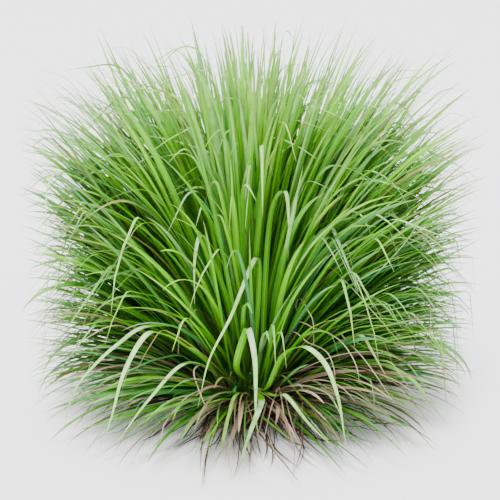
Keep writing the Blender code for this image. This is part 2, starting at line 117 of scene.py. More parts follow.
# Some of the further leaves are folded over and hang from the fold, and the tips of many more arch over
folds = {
    "share": 0.016,
    # how strong the painted sky sheen is on the part past the fold
    "paleness": (0.1, 0.6),
    "place": (0.66, 0.88),
    "angle": radians(60, 105),
    "over": (0.030, 0.030),  # the share of the length in which it turns
    "width": 0.6,
    "taper": 0.0,
    "hanging": math.radians(172),
}
arches = {
    "paleness": (0.0, 0.75),
    "place": (0.66, 0.90),
    "angle": radians(30, 110),
    "over": (0.06, 0.18),
    "width": 1.0,
    "taper": 0.45,
    "hanging": math.radians(138),
}

# Leaves bent over: where they leave their stem, and for each its width and the points on its midline
bentLeaves = {
    "root": 0.72,
    "turn": 0.6,
}
bentRoutes = [
    (0.0135, [(-0.062, -0.1, 0.335), (-0.075, -0.11, 0.435), (-0.104, -0.135, 0.58),
        (-0.126, -0.17, 0.535)]),
    (0.014, [(-0.046, -0.13, 0.31), (-0.093, -0.155, 0.475), (-0.113, -0.165, 0.52), (-0.126, -0.195, 0.47),
        (-0.127, -0.215, 0.37)]),
    (0.0135, [(0.032, -0.12, 0.26), (0.047, -0.13, 0.55), (0.08, -0.135, 0.615), (0.089, -0.165, 0.54),
        (0.087, -0.175, 0.46)]),
    (0.0125, [(0.015, -0.13, 0.265), (0.017, -0.15, 0.46), (-0.045, -0.21, 0.335), (-0.094, -0.25, 0.245),
        (-0.12, -0.28, 0.14)]),
    (0.016, [(-0.032, -0.18, 0.195), (-0.012, -0.2, 0.29), (-0.002, -0.212, 0.302), (0.012, -0.235, 0.23),
        (0.014, -0.25, 0.1), (0.024, -0.26, 0.036)]),
    (0.0175, [(0.039, -0.18, 0.14), (0.077, -0.21, 0.24), (0.124, -0.245, 0.277), (0.17, -0.28, 0.25),
        (0.199, -0.31, 0.18), (0.214, -0.33, 0.095), (0.221, -0.34, 0.06)]),
    (0.013, [(0.053, -0.205, 0.135), (0.084, -0.24, 0.15), (0.135, -0.29, 0.105), (0.196, -0.33, 0.058)]),
    (0.017, [(-0.144, -0.19, 0.25), (-0.203, -0.22, 0.3), (-0.241, -0.245, 0.302), (-0.286, -0.285, 0.23),
        (-0.317, -0.31, 0.125), (-0.345, -0.32, 0.053)]),
    (0.016, [(-0.134, -0.15, 0.27), (-0.239, -0.19, 0.305), (-0.309, -0.22, 0.27), (-0.359, -0.245, 0.23),
        (-0.397, -0.26, 0.187), (-0.419, -0.27, 0.137), (-0.434, -0.275, 0.073)]),
    (0.012, [(-0.145, -0.22, 0.225), (-0.227, -0.285, 0.168), (-0.291, -0.33, 0.092),
        (-0.311, -0.345, 0.053)]),
    (0.014, [(0.098, -0.07, 0.505), (0.163, -0.085, 0.61), (0.249, -0.105, 0.652), (0.29, -0.115, 0.655),
        (0.334, -0.13, 0.625), (0.37, -0.14, 0.57)]),
    (0.014, [(0.099, -0.12, 0.41), (0.138, -0.145, 0.51), (0.194, -0.17, 0.566), (0.242, -0.19, 0.58),
        (0.266, -0.2, 0.548), (0.273, -0.205, 0.526)]),
    (0.0165, [(-0.135, -0.12, 0.34), (-0.236, -0.15, 0.523), (-0.347, -0.17, 0.631), (-0.421, -0.18, 0.672),
        (-0.45, -0.185, 0.645), (-0.46, -0.19, 0.577), (-0.466, -0.195, 0.493)]),
    (0.014, [(0.206, -0.13, 0.383), (0.247, -0.17, 0.485), (0.293, -0.2, 0.553), (0.327, -0.215, 0.571),
        (0.387, -0.225, 0.552), (0.47, -0.23, 0.521)]),
    (0.0165, [(0.026, -0.19, 0.122), (0.022, -0.24, 0.118), (0.003, -0.3, 0.095), (-0.015, -0.35, 0.062),
        (-0.028, -0.39, 0.026)]),
    (0.017, [(0.144, 0.19, 0.25), (0.203, 0.235, 0.31), (0.241, 0.265, 0.318), (0.286, 0.31, 0.245),
        (0.31, 0.34, 0.14), (0.325, 0.35, 0.06)]),
    (0.014, [(-0.062, 0.12, 0.335), (-0.09, 0.165, 0.52), (-0.105, 0.185, 0.575), (-0.12, 0.215, 0.53),
        (-0.125, 0.235, 0.42)]),
    (0.016, [(-0.15, 0.15, 0.26), (-0.26, 0.215, 0.33), (-0.33, 0.25, 0.325), (-0.375, 0.275, 0.25),
        (-0.4, 0.29, 0.14)]),
    (0.014, [(0.05, 0.14, 0.3), (0.085, 0.19, 0.47), (0.105, 0.21, 0.51), (0.125, 0.235, 0.455),
        (0.13, 0.25, 0.36)]),
]


def unit(vectors):
    # every vector along the last axis, divided by its own length
    return vectors / np.linalg.norm(vectors, axis=-1, keepdims=True)


def smooth(share):
    # 3 s^2 - 2 s^3: 0 before 0, 1 after 1, an even S between
    share = np.clip(share, 0, 1)
    return share * share * (3 - 2 * share)


def leaning(lean, heading):
    # a unit vector leaning from upright towards a heading: (sin l cos h, sin l sin h, cos l)
    lean, heading = np.broadcast_arrays(lean, heading)
    return np.stack([np.sin(lean) * np.cos(heading), np.sin(lean) * np.sin(heading), np.cos(lean)], axis=-1)


def usualLean(ring):
    # the stalks lean further out from the middle to the edge of the crown
    spread = stalkRule["outerLean"] - stalkRule["innerLean"]
    return stalkRule["innerLean"] + spread * ring ** stalkRule["leanPower"]


class Stalk:
    # where a stalk stands, how it leans, and the line of its stem
    def __init__(self, index, rng):
        rule = stalkRule
        self.ring = math.sqrt((index + 0.5) / rule["count"])
        self.heading = index * goldenAngle
        self.dry = index in rule["dry"]
        self.lean = usualLean(self.ring) + rng.normal(0, rule["leanDrift"])
        self.height = rule["height"] * rng.uniform(*rule["heightRange"])
        self.height *= 1 - (1 - rule["outerHeight"]) * self.ring
        if self.dry:
            self.lean = rule["dryLean"]
            self.height *= rule["dryHeight"]
        self.fan = rng.uniform(0, math.pi)
        self.setLine(rule["ring"] * self.ring, 1.0)

    def setLine(self, radius, size):
        # upright out of the socket, then leaning over with an even S; the radius shrinks towards the top
        rule = stalkRule
        foot = radius * leaning(math.pi / 2, self.heading) + np.array([0, 0, rule["footHeight"]])
        along = np.linspace(0, 1, 3)
        ways = leaning(self.lean * smooth((along - 0.05) / 0.6), self.heading)
        steps = ways[:-1] * (self.height / (len(along) - 1))
        upright = foot + np.array([0, 0, rule["upright"]])
        self.line = np.vstack([foot, upright, upright + np.cumsum(steps, axis=0)])
        radii = rule["topRadius"] + (rule["bulbRadius"] - rule["topRadius"]) * (1 - along[1:]) ** 0.8
        self.radii = np.concatenate([[rule["footRadius"], rule["bulbRadius"]], radii]) * size
        self.ways = np.vstack([[0, 0, 1], [0, 0, 1], ways[1:]])

    def point(self, share):
        place = share * (len(self.line) - 1)
        low = min(int(place), len(self.line) - 2)
        part = place - low
        return (
            self.line[low] * (1 - part) + self.line[low + 1] * part,
            unit(self.ways[low] * (1 - part) + self.ways[low + 1] * part),
        )


def drawLeaf(stalk, rank, attempt, rng):
    # one leaf's sizes and angles: low ranks are the old outer leaves, high ranks the young inner ones
    rule = leafRule
    side = 1 if rank % 2 else -1
    youth = rank / (rule["perStalk"] - 1)
    spread = side * rule["fanSpread"] * (1.1 - youth) * rng.uniform(*rule["fanRange"])
    ring = stalk.ring
    length = (rule["innerLength"] + (rule["outerLength"] - rule["innerLength"]) * ring) * (0.9 + 0.1 * youth)
    bend = rule["innerBend"] + (rule["outerBend"] - rule["innerBend"]) * ring ** rule["bendPower"]
    leaf = {
        "root": rule["lowestRoot"] + rule["rootRise"] * youth,
        "spread": spread,
        "aside": rng.normal(0, rule["asideDrift"]),
        "droop": rule["oldDroop"] * (1 - youth) * ring**3,
        "length": length * rng.uniform(*rule["lengthRange"]),
        "bend": bend * rng.uniform(*rule["bendRange"]),
        "onset": rng.uniform(*rule["bendOnset"]),
        "sway": rng.normal(0, rule["swayDrift"]),
        "roll": rng.normal(0, rule["rollDrift"]),
        "twist": rng.normal(0, rule["twistDrift"]),
        "width": rule["width"] * rng.uniform(*rule["widthRange"]),
        "fold": 0.0,
    }
    if stalk.dry:
        leaf["length"] = rule["dryLength"] * rng.uniform(*rule["dryLengthRange"])
        leaf["bend"] = rng.uniform(*rule["dryBendRange"])
        leaf["width"] *= rule["dryWidth"]
        leaf["droop"] = 0.0
    leaf["length"] *= 1 - rule["shorterPerTry"] * attempt
    return leaf


def leafFrames(stalk, leaf):
    # the midline in even fine steps: it leaves its side of the stem at a narrow angle, then bends down by
    # bend x share^onset, with a sharp extra turn at a fold; roll and twist turn the blade about the midline
    rule = leafRule
    root, stemWay = stalk.point(leaf["root"])
    share = np.linspace(0, 1, rule["fineSteps"])
    alongStem = leaning(stalk.lean + leaf["droop"], stalk.heading)
    fanWay = leaning(math.pi / 2, stalk.fan)
    fanWay = unit(fanWay - (fanWay @ alongStem) * alongStem)
    sideWay = np.cross(alongStem, fanWay)
    root = root + math.copysign(rule["rootOut"], leaf["spread"]) * fanWay
    way = unit(alongStem + math.tan(leaf["spread"]) * fanWay + math.tan(leaf["aside"]) * sideWay)
    lean = math.acos(np.clip(way[2], -1, 1))
    heading = math.atan2(way[1], way[0])
    leans = lean + leaf["bend"] * share ** leaf["onset"]
    if leaf["fold"]:
        leans = leans + leaf["foldAngle"] * smooth((share - leaf["fold"]) / leaf["foldOver"])
        leans = np.minimum(leans, max(lean + leaf["bend"], leaf["hanging"]))
    headings = heading + leaf["sway"] * share
    own = leaning(leans, headings)
    away = 0.4 + 0.6 * smooth(share / rule["ownWayBy"])[:, None]
    along = unit(stemWay * (1 - away) + own * away)
    step = leaf["length"] / (rule["fineSteps"] - 1)
    line = root + np.vstack([[0, 0, 0], np.cumsum((along[:-1] + along[1:]) / 2 * step, axis=0)])
    level = np.stack([-np.sin(headings), np.cos(headings), np.zeros_like(headings)], axis=-1)
    level = unit(level - (level * along).sum(axis=1, keepdims=True) * along)
    upper = np.cross(along, level)
    turn = (leaf["roll"] * smooth(share / 0.3) + leaf["twist"] * share**1.5)[:, None]
    across = level * np.cos(turn) + upper * np.sin(turn)
    return line, along, across, np.cross(along, across)


def leafWidth(width, share):
    # narrow at the sheath, full by a third of the way, drawn out to a fine tip
    closed = 1 - leafRule["sheathWidth"]
    opening = leafRule["sheathWidth"] + closed * smooth(share / leafRule["fullWidthBy"])
    return width * opening * np.clip(1 - share**4, 0, 1) ** 0.8


def stationsAlong(along, count):
    # places at even steps of length and turning together, so that bends get more of them
    turned = np.arccos(np.clip((along[:-1] * along[1:]).sum(axis=1), -1, 1))
    measure = np.concatenate([[0], np.cumsum(1 / len(turned) + turned / leafRule["stationTurn"])])
    return np.searchsorted(measure, np.linspace(0, measure[-1], count)[:-1])


def ringsOf(line, across, face, half):
    # three points for each place: left edge, right edge and keel
    half = half[:, None]
    keel = line - face * half * 2 * leafRule["keel"]
    return np.stack([line + across * half, line - across * half, keel], axis=1)


def coarseLeaf(frames, leaf):
    line, along, across, face = frames
    at = stationsAlong(along, leafRule["stations"])
    half = leafWidth(leaf["width"], np.linspace(0, 1, leafRule["fineSteps"])[at]) / 2
    return ringsOf(line[at], across[at], face[at], half), line[-1]


def bentFrames(stalk, route):
    # directions at each point of a bent leaf's route, the blade turned a little towards the front
    line = np.vstack([stalk.point(bentLeaves["root"])[0], np.array(route)])
    steps = unit(np.diff(line, axis=0))
    along = unit(np.vstack([steps[0], steps[:-1] + steps[1:], steps[-1]]))
    outward = unit((line[-1] - line[0]) * [1, 1, 0])
    aside = np.array([-outward[1], outward[0], 0])
    aside[0] += math.copysign(bentLeaves["turn"], aside[0])
    across = unit(aside - (along @ aside)[:, None] * along)
    length = np.concatenate([[0], np.cumsum(np.linalg.norm(np.diff(line, axis=0), axis=1))])
    return line, across, np.cross(along, across), length / length[-1], aside


def probePoints(rings, tip):
    # points all over a coarse leaf; the second result marks those past its first segment
    ends = np.concatenate([rings, np.repeat(tip[None, None], 3, axis=1)])
    mixes = np.array([[1, 0, 0], [0, 1, 0], [0, 0, 1], [0.5, 0.5, 0], [0.75, 0.25, 0], [0.25, 0.75, 0]])
    lines = np.einsum("ij,rjk->rik", mixes, ends)
    found, clear = [], []
    for number, (low, high) in enumerate(zip(lines[:-1], lines[1:])):
        steps = int(np.linalg.norm(high - low, axis=1).max() / clump["probeStep"]) + 2
        part = np.linspace(0, 1, steps)[:, None, None]
        found.append((low * (1 - part) + high * part).reshape(-1, 3))
        clear.append(np.full(len(found[-1]), number > 0))
    return np.vstack(found), np.concatenate(clear)


def stemPoints(stalk):
    # points all over a stem, on two circles at every ninth of each stretch
    found = []
    turns = np.linspace(0, 2 * math.pi, 13)[:-1]
    for low in range(len(stalk.line) - 1):
        for part in np.linspace(0, 1, 9):
            centre = stalk.line[low] * (1 - part) + stalk.line[low + 1] * part
            for radius in (0.55 * stalk.radii[low], stalk.radii[low]):
                found.append(centre + radius * leaning(math.pi / 2, turns))
    return np.vstack(found)


class Space:
    # a grid of cells that remembers which stalk fills each
    def __init__(self):
        reach = clump["sideReach"]
        self.low = np.array([-reach - 0.03, -reach - 0.03, -0.02])
        size = ((-self.low * 2)[:2] / clump["cell"]).astype(int) + 1
        shape = (size[0], size[1], int((clump["height"] + 0.06) / clump["cell"]))
        self.cells = np.full(shape, -1, np.int16)
        self.own = self.cells.copy()
        self.kept = np.zeros(shape, bool)
        near, wide = np.arange(-1, 2), np.arange(-2, 3)
        self.around = np.stack(np.meshgrid(near, near, near), axis=-1).reshape(-1, 3)
        self.wide = np.stack(np.meshgrid(wide, wide, wide), axis=-1).reshape(-1, 3)

    def index(self, points):
        found = ((points - self.low) / clump["cell"]).astype(int)
        return np.clip(found, 1, np.array(self.cells.shape) - 2)

    def fill(self, points, owner):
        at = np.unique(self.index(points), axis=0)
        self.own[tuple(at.T)] = owner
        self.cells[tuple((at[:, None] + self.around[None]).reshape(-1, 3).T)] = owner

    def isFree(self, points, clear, owner):
        at = tuple(self.index(points).T)
        held = self.cells[at]
        return bool((((held == -1) | (held == owner)) & ~((self.own[at] == owner) & clear)).all())

    def keepRound(self, points):
        # room round the bent leaves, which no thin leaf may cross
        at = (self.index(points)[:, None] + self.wide[None]).reshape(-1, 3)
        self.kept[tuple(np.clip(at, 0, np.array(self.cells.shape) - 1).T)] = True

    def crowding(self, points):
        # the share of the points that lie in cells of other leaves, or None where a bent leaf is crossed
        at = tuple(self.index(points).T)
        return None if self.kept[at].any() else float((self.own[at] >= 0).mean())


def insideDome(points):
    reachY = np.where(points[:, 1] > 0, clump["backReach"], clump["frontReach"])
    plan = (points[:, 0] / clump["sideReach"]) ** 2 + (points[:, 1] / reachY) ** 2
    high = points[:, 2].max() <= clump["height"] and points[:, 2].min() >= clump["lowestLeaf"]
    return bool(plan.max() <= 1 and high)


def growMainLeaves():
    # every stalk with the leaves that found room: the same leaves as the solids have
    rng = np.random.default_rng(clump["seed"])
    stalks = [Stalk(index, rng) for index in range(stalkRule["count"])]
    space = Space()
    for owner, stalk in enumerate(stalks):
        space.fill(stemPoints(stalk), owner)
    grown = [[] for _ in stalks]
    bent = []
    for width, route in bentRoutes:
        gaps = [9.0 if stalk.dry else np.linalg.norm(stalk.line[-1] - route[0]) for stalk in stalks]
        owner = int(np.argmin(gaps))
        line, across, face, share, aside = bentFrames(stalks[owner], route)
        rings = ringsOf(line, across, face, leafWidth(width, share) / 2)
        points, past = probePoints(rings[:-1], line[-1])
        space.fill(points, owner)
        space.keepRound(points[past])
        bent.append((owner, width, line, aside))
    for rank in range(leafRule["perStalk"]):
        for owner, stalk in enumerate(stalks):
            for attempt in range(clump["tries"]):
                leaf = drawLeaf(stalk, rank, attempt, rng)
                frames = leafFrames(stalk, leaf)
                rings, tip = coarseLeaf(frames, leaf)
                if not insideDome(np.vstack([*rings, tip])):
                    continue
                points, clear = probePoints(rings, tip)
                if space.isFree(points, clear, owner):
                    space.fill(points, owner)
                    grown[owner].append((leaf, frames))
                    break
    return stalks, grown, bent, space


stalks, grown, bent, space = growMainLeaves()
print("main leaves:", sum(len(leaves) for leaves in grown), "and", len(bent), "bent ones")

# Fine blades

blade = {
    "rings": 14,
    "bentRings": 44,
    "thickness": 0.00045,
    "tipHalf": 0.00025,
    "baseFold": 0.55,  # how much deeper the channel is at the sheath
    "bentTaper": 0.65,
    "greenAgain": 0.55,  # how much of the painted sky sheen a bent leaf loses towards its tip
    "bentSteps": 400,
    "strandSteps": 300,
    # where the single strands' painted sky sheen starts
    "strandSheenSince": 0.7,
    "dryStrandSheenSince": 0.85,
    "sharpAngle": math.radians(28),
}
# a blade's section: left edge, left, midrib, right, right edge and keel
sectionAcross = np.array([-1.0, -0.5, 0.0, 0.5, 1.0, 0.0])
sectionRaised = np.array([0.0, 1.0, 1.5, 1.0, 0.0, 0.0])  # how many thicknesses above the underside
sixEnds = np.array([[0, 1, 2, 5], [5, 2, 3, 4]])


def endQuads(sides):
    # quads side by side over a ring with an even number of sides
    first = np.arange(sides // 2 - 1)
    return np.stack([first, first + 1, sides - 2 - first, sides - 1 - first], axis=-1)


class Skin:
    # gathers closed surfaces that will be one mesh: points, faces, map places and the values of each point
    def __init__(self):
        self.points, self.quads, self.values, self.maps, self.count = [], [], [], [], 0

    def addGrid(self, grid, values, closeEnds):
        # grid is (rings, sides, 3), closed round its sides; its ends close with the given quads
        rings, sides = grid.shape[:2]
        ring, side = np.meshgrid(np.arange(rings - 1), np.arange(sides), indexing="ij")
        after = (side + 1) % sides
        quads = np.stack([ring * sides + side, (ring + 1) * sides + side, (ring + 1) * sides + after,
                          ring * sides + after], axis=-1).reshape(-1, 4)
        top = (rings - 1) * sides
        ends = np.vstack([closeEnds, closeEnds[:, ::-1] + top])
        self.quads.append(np.vstack([quads, ends]) + self.count)
        across = np.stack([side, side, side + 1, side + 1], axis=-1).reshape(-1, 4) / sides
        up = np.stack([ring, ring + 1, ring + 1, ring], axis=-1).reshape(-1, 4) / (rings - 1)
        corner = np.array([[0, 0], [0, 1], [1, 1], [1, 0]])
        ends = np.arange(2 * len(closeEnds))[:, None, None]
        endMap = (corner[None] * [0.8, 1] + ends * [1, 0]) / [2 * len(closeEnds), 1]
        self.maps.append((np.stack([across, up], axis=-1), endMap))
        self.points.append(grid.reshape(-1, 3))
        spread = {key: np.broadcast_to(value, (rings, sides)) for key, value in values.items()}
        self.values.append({key: value.reshape(-1) for key, value in spread.items()})
        self.count += rings * sides

    def places(self):
        # each surface gets a strip of the map, with a little room round it, and its ends lie along the top
        strips = []
        for number, (sides, ends) in enumerate(self.maps):
            u = (number + 0.06 + 0.88 * sides[..., 0]) / len(self.maps)
            v = 0.004 + 0.976 * sides[..., 1]
            endU = (number + 0.06 + 0.88 * ends[..., 0]) / len(self.maps)
            endV = 0.986 + 0.010 * ends[..., 1]
            strips.append(np.concatenate([np.stack([u, v], axis=-1), np.stack([endU, endV], axis=-1)]))
        return np.concatenate(strips)

    def makeMesh(self, name):
        points, quads = np.vstack(self.points), np.vstack(self.quads)
        mesh = bpy.data.meshes.new(name)
        mesh.vertices.add(len(points))
        mesh.vertices.foreach_set("co", points.astype(np.float32).ravel())
        mesh.loops.add(quads.size)
        mesh.loops.foreach_set("vertex_index", quads.astype(np.int32).ravel())
        mesh.polygons.add(len(quads))
        mesh.polygons.foreach_set("loop_start", (np.arange(len(quads)) * 4).astype(np.int32))
        mesh.update(calc_edges=True)
        mesh.validate()
        values = {key: np.concatenate([value[key] for value in self.values]) for key in self.values[0]}
        # openness to the sky, which sets the painted shade in the blades' colour
        values["leafLight"] = sampleGrid(openness, points)
        for key, value in values.items():
            attribute = mesh.attributes.new(key, "FLOAT", "POINT")
            attribute.data.foreach_set("value", value.astype(np.float32))
        bakeMap = mesh.uv_layers.new(name="OFBake")
        bakeMap.data.foreach_set("uv", self.places().astype(np.float32).ravel())
        mesh.polygons.foreach_set("use_smooth", np.ones(len(quads), bool))
        mesh.set_sharp_from_angle(angle=blade["sharpAngle"])
        return mesh


def bladeSurface(line, across, face, half, share):
    # P(share, a) = line + a half across + f face, where the underside is a V of depth 2 keel half (1 - |a|),
    # deeper at the sheath, and the upper side lies a thin leaf's thickness above it
    depth = 2 * leafRule["keel"] * half * (1 + blade["baseFold"] * (1 - smooth(share / 0.25)))
    thick = np.minimum(blade["thickness"], 0.3 * half)
    raised = -depth[:, None] * (1 - abs(sectionAcross)) + thick[:, None] * sectionRaised
    wide = half[:, None] * sectionAcross
    return line[:, None] + wide[..., None] * across[:, None] + raised[..., None] * face[:, None]


def addBlade(skin, frames, width, rings, tone, age, pale, taper=0.0, paleness=1.0):
    # one leaf of a skin; age is its dryness from 0 to 1, pale the share of its length where its painted sky
    # sheen starts, paleness how strong that is, and taper how much of its width it loses from there to its
    # tip
    line, along, across, face = frames
    at = np.unique(np.append(stationsAlong(along, rings), len(line) - 1))
    share = np.linspace(0, 1, len(line))[at]
    past = np.clip((share - pale) / max(1 - pale, 0.05), 0, 1)
    half = np.maximum(leafWidth(width, share) / 2 * (1 - taper * past), blade["tipHalf"])
    grid = bladeSurface(line[at], across[at], face[at], half, share)
    # painted sky sheen: a pale colour that fades in past pale
    paintedSheen = paleness * smooth((share - pale) / 0.06 + 0.5)
    skin.addGrid(grid, {
        "leafAlong": share[:, None],
        "leafAcross": sectionAcross[None],
        "leafTone": tone,
        "leafAge": age,
        "leafPaintedSheen": (paintedSheen * (1 - blade["greenAgain"] * past))[:, None],
    }, sixEnds)


def curveThrough(points, count):
    # a Catmull-Rom curve: each stretch blends its four nearest points with the cubic weights
    padded = np.vstack([2 * points[0] - points[1], points, 2 * points[-1] - points[-2]])
    place = np.linspace(0, len(points) - 1, count)
    low = np.minimum(place.astype(int), len(points) - 2)
    t = (place - low)[:, None]
    a, b, c, d = (padded[low + shift] for shift in range(4))
    return 0.5 * (2 * b + (c - a) * t + (2 * a - 5 * b + 4 * c - d) * t**2 + (3 * b - a - 3 * c + d) * t**3)


def walk(root, leans, headings, length):
    # a line in even steps from its root, each step at its own lean and heading
    steps = leaning(leans, headings)[:-1] * (length / (len(leans) - 1))
    return root + np.vstack([[0, 0, 0], np.cumsum(steps, axis=0)])


def evenFrames(line, aside):
    # a line in even steps, with its directions along, across (as near to aside as may be) and off its face
    length = np.concatenate([[0], np.cumsum(np.linalg.norm(np.diff(line, axis=0), axis=1))])
    even = np.linspace(0, length[-1], leafRule["fineSteps"])
    line = np.stack([np.interp(even, length, line[:, axis]) for axis in range(3)], axis=1)
    along = unit(np.gradient(line, axis=0))
    across = unit(aside - (along * aside).sum(axis=1, keepdims=True) * along)
    return line, along, across, np.cross(along, across)


stemLook = {
    "main": (14, 12),  # sides and rings
    "further": (8, 8),
    "layerStep": 0.09,
    "layerTurns": 1.6,
    "closing": 0.45,  # the last ring's share of its radius
    "age": 0.1,
}


def addStem(skin, stalk, tone, age, sides, rings):
    # rings round the stem's line; the radius steps up once round, where a rolled sheath's edge shows, and
    # the step's place turns with height: r (1 + step frac(turn + turns height))
    share = np.linspace(0, 1, rings)
    places, ways = zip(*[stalk.point(part) for part in share])
    places, ways = np.array(places), np.array(ways)
    radii = np.interp(share * (len(stalk.radii) - 1), np.arange(len(stalk.radii)), stalk.radii)
    radii[-1] *= stemLook["closing"]
    level = np.array([-math.sin(stalk.heading), math.cos(stalk.heading), 0.0])
    one = unit(np.cross(ways, level))
    two = np.cross(ways, one)
    turns = np.arange(sides) / sides
    layer = (turns[None] + stemLook["layerTurns"] * share[:, None] + stalk.fan) % 1.0
    reach = radii[:, None] * (1 - stemLook["layerStep"] * (1 - layer))
    angle = -2 * math.pi * turns[None]
    grid = places[:, None] + (reach * np.cos(angle))[..., None] * one[:, None] \
        + (reach * np.sin(angle))[..., None] * two[:, None]
    skin.addGrid(grid, {
        "leafAlong": 0.10 * share[:, None] - 0.10,
        "leafAcross": (2 * layer - 1) * 0.9,
        "leafTone": tone,
        "leafAge": age,
        "leafPaintedSheen": 0.0,
    }, endQuads(sides))


# The further leaves: more thin shoots between the main stalks, each with its own fan of leaves. A group that
# gives no lean, length or bend of its own follows the main stalks' rule

anyShoots = {
    "innerRing": 0.0,
    "outerRing": 1.0,
    "leaves": 8,
    "leanDrift": 0.0,
    "drawnShare": 0.0,
    "drySince": 1.0,
    "dryShare": 0.0,
    "dryLean": radians(50, 66),
}
tallShoots = {
    **anyShoots,
    "count": 300,
    "leanDrift": math.radians(5),
    "heightRange": (0.5, 1.1),
    "widthRange": (0.50, 0.95),
    "bendRange": (0.7, 1.25),
    "archShare": 0.24,
    "drySince": 0.72,
    "dryShare": 0.12,
    "seed": 41,
}
backShoots = {
    **anyShoots,
    "count": 64,
    "outerRing": 0.80,
    "leanDrift": math.radians(6),
    "heightRange": (0.6, 1.1),
    "widthRange": (0.40, 0.75),
    "length": (0.70, 0.93),
    "bend": radians(5, 40),
    "archShare": 0.40,
    "drawnTo": radians(90),  # away from the viewer, where their tips fill the top of the view
    "drawnShare": 0.7,
    "drawnSpread": math.radians(50),
    "seed": 44,
}
sideShoots = {
    **anyShoots,
    "count": 46,
    "innerRing": 0.35,
    "lean": radians(20, 42),
    "heightRange": (0.5, 1.0),
    "widthRange": (0.45, 0.85),
    "length": (0.58, 0.86),
    "bend": radians(10, 50),
    "archShare": 0.20,
    "drawnTo": radians(8, 172),
    "drawnShare": 1.0,
    "drawnSpread": math.radians(26),
    "seed": 45,
}
middleShoots = {
    **anyShoots,
    "count": 150,
    "innerRing": 0.74,
    "lean": radians(38, 60),
    "heightRange": (0.4, 0.9),
    "widthRange": (0.36, 0.72),
    "length": (0.46, 0.74),
    "bend": radians(15, 70),
    "archShare": 0.16,
    "drawnTo": radians(0, 180),  # many of them grow to the left and the right, where the clump is thin
    "drawnShare": 0.5,
    "drawnSpread": math.radians(34),
    "drySince": 0.0,
    "dryShare": 0.05,
    "seed": 43,
}
lowShoots = {
    **anyShoots,
    "count": 130,
    "innerRing": 0.72,
    "lean": radians(50, 82),
    "heightRange": (0.3, 0.7),
    "widthRange": (0.28, 0.60),
    "length": (0.30, 0.60),
    "bend": radians(12, 62),
    "archShare": 0.06,
    "drySince": 0.0,
    "dryShare": 0.10,
    "dryLean": radians(60, 80),
    "seed": 42,
}
dressing = {
    "seed": 77,
    "agedShare": 0.06,
    "agedLow": 0.16,
    "lowSince": math.radians(49),
    "agedRange": (0.35, 0.85),
    "toneMiddle": 0.72,  # upright leaves in the middle are a yellower green than the arching outer ones, partly their own colour and partly a painted glow of light shining through them
    "toneOuter": 0.32,
    "toneDrift": 0.27,
    "paintedSheenSince": (0.30, 1.7),  # where a leaf that doesn't arch over gets its painted sky sheen; past 1 it doesn't
    "paleness": (0.10, 0.55),
    "freshRange": (0.0, 0.22),
    "bentTone": (0.55, 0.95),
    "bentAge": 0.05,
}
shootRule = {
    "ring": 0.104,
    "size": 0.5,
    "turn": 0.7,
    "outerHeight": 0.75,
    "dryHeight": 0.6,
    "tries": 7,
    "crowded": 0.02,
    "sheath": 20,  # so many of the fine steps lie in the sheath, where crowding doesn't count
    "frontThinned": 0.6,
    "mark": 999,  # the owner's number that their leaves get in the grid of cells
}


def makeShoot(index, rng, group):
    # a thinner stalk on a finer sunflower layout, from the group's innermost ring outwards
    shoot = Stalk(0, rng)
    inner, outer = group["innerRing"] ** 2, group["outerRing"] ** 2
    shoot.ring = math.sqrt(inner + (outer - inner) * (index + 0.5) / group["count"])
    shoot.heading = index * goldenAngle + shootRule["turn"]
    if rng.uniform() < group["drawnShare"]:
        drawn = group["drawnTo"]
        shoot.heading = drawn[index % len(drawn)] + rng.normal(0, group["drawnSpread"])
    shoot.lean = abs(usualLean(shoot.ring) + rng.normal(0, group["leanDrift"]))
    shoot.dry = shoot.ring > group["drySince"] and rng.uniform() < group["dryShare"]
    if "lean" in group:
        shoot.lean = rng.uniform(*group["lean"])
    if shoot.dry:
        shoot.lean = rng.uniform(*group["dryLean"])
    shoot.height = stalkRule["height"] * rng.uniform(*group["heightRange"])
    shorter = 1 - (1 - shootRule["outerHeight"]) * shoot.ring
    shoot.height *= shorter * (shootRule["dryHeight"] if shoot.dry else 1)
    shoot.setLine(shootRule["ring"] * shoot.ring, shootRule["size"])
    return shoot


def drawShootLeaf(shoot, attempt, rng, group):
    leaf = drawLeaf(shoot, int(rng.integers(0, leafRule["perStalk"])), attempt * 4, rng)
    leaf["width"] *= rng.uniform(*group["widthRange"])
    if "bend" in group:
        leaf["length"] = rng.uniform(*group["length"])
        leaf["bend"] = rng.uniform(*group["bend"])
        leaf["droop"] = 0.0
    else:
        leaf["bend"] *= rng.uniform(*group["bendRange"])
    chance = rng.uniform() - folds["share"]
    kind = folds if chance < 0 else arches if chance < group["archShare"] else None
    if kind:
        leaf["fold"] = rng.uniform(*kind["place"])
        leaf["foldAngle"] = rng.uniform(*kind["angle"])
        leaf["foldOver"] = rng.uniform(*kind["over"])
        leaf["paleness"] = rng.uniform(*kind["paleness"])
        leaf["width"] *= kind["width"]
        leaf["taper"], leaf["hanging"] = kind["taper"], kind["hanging"]
    return leaf


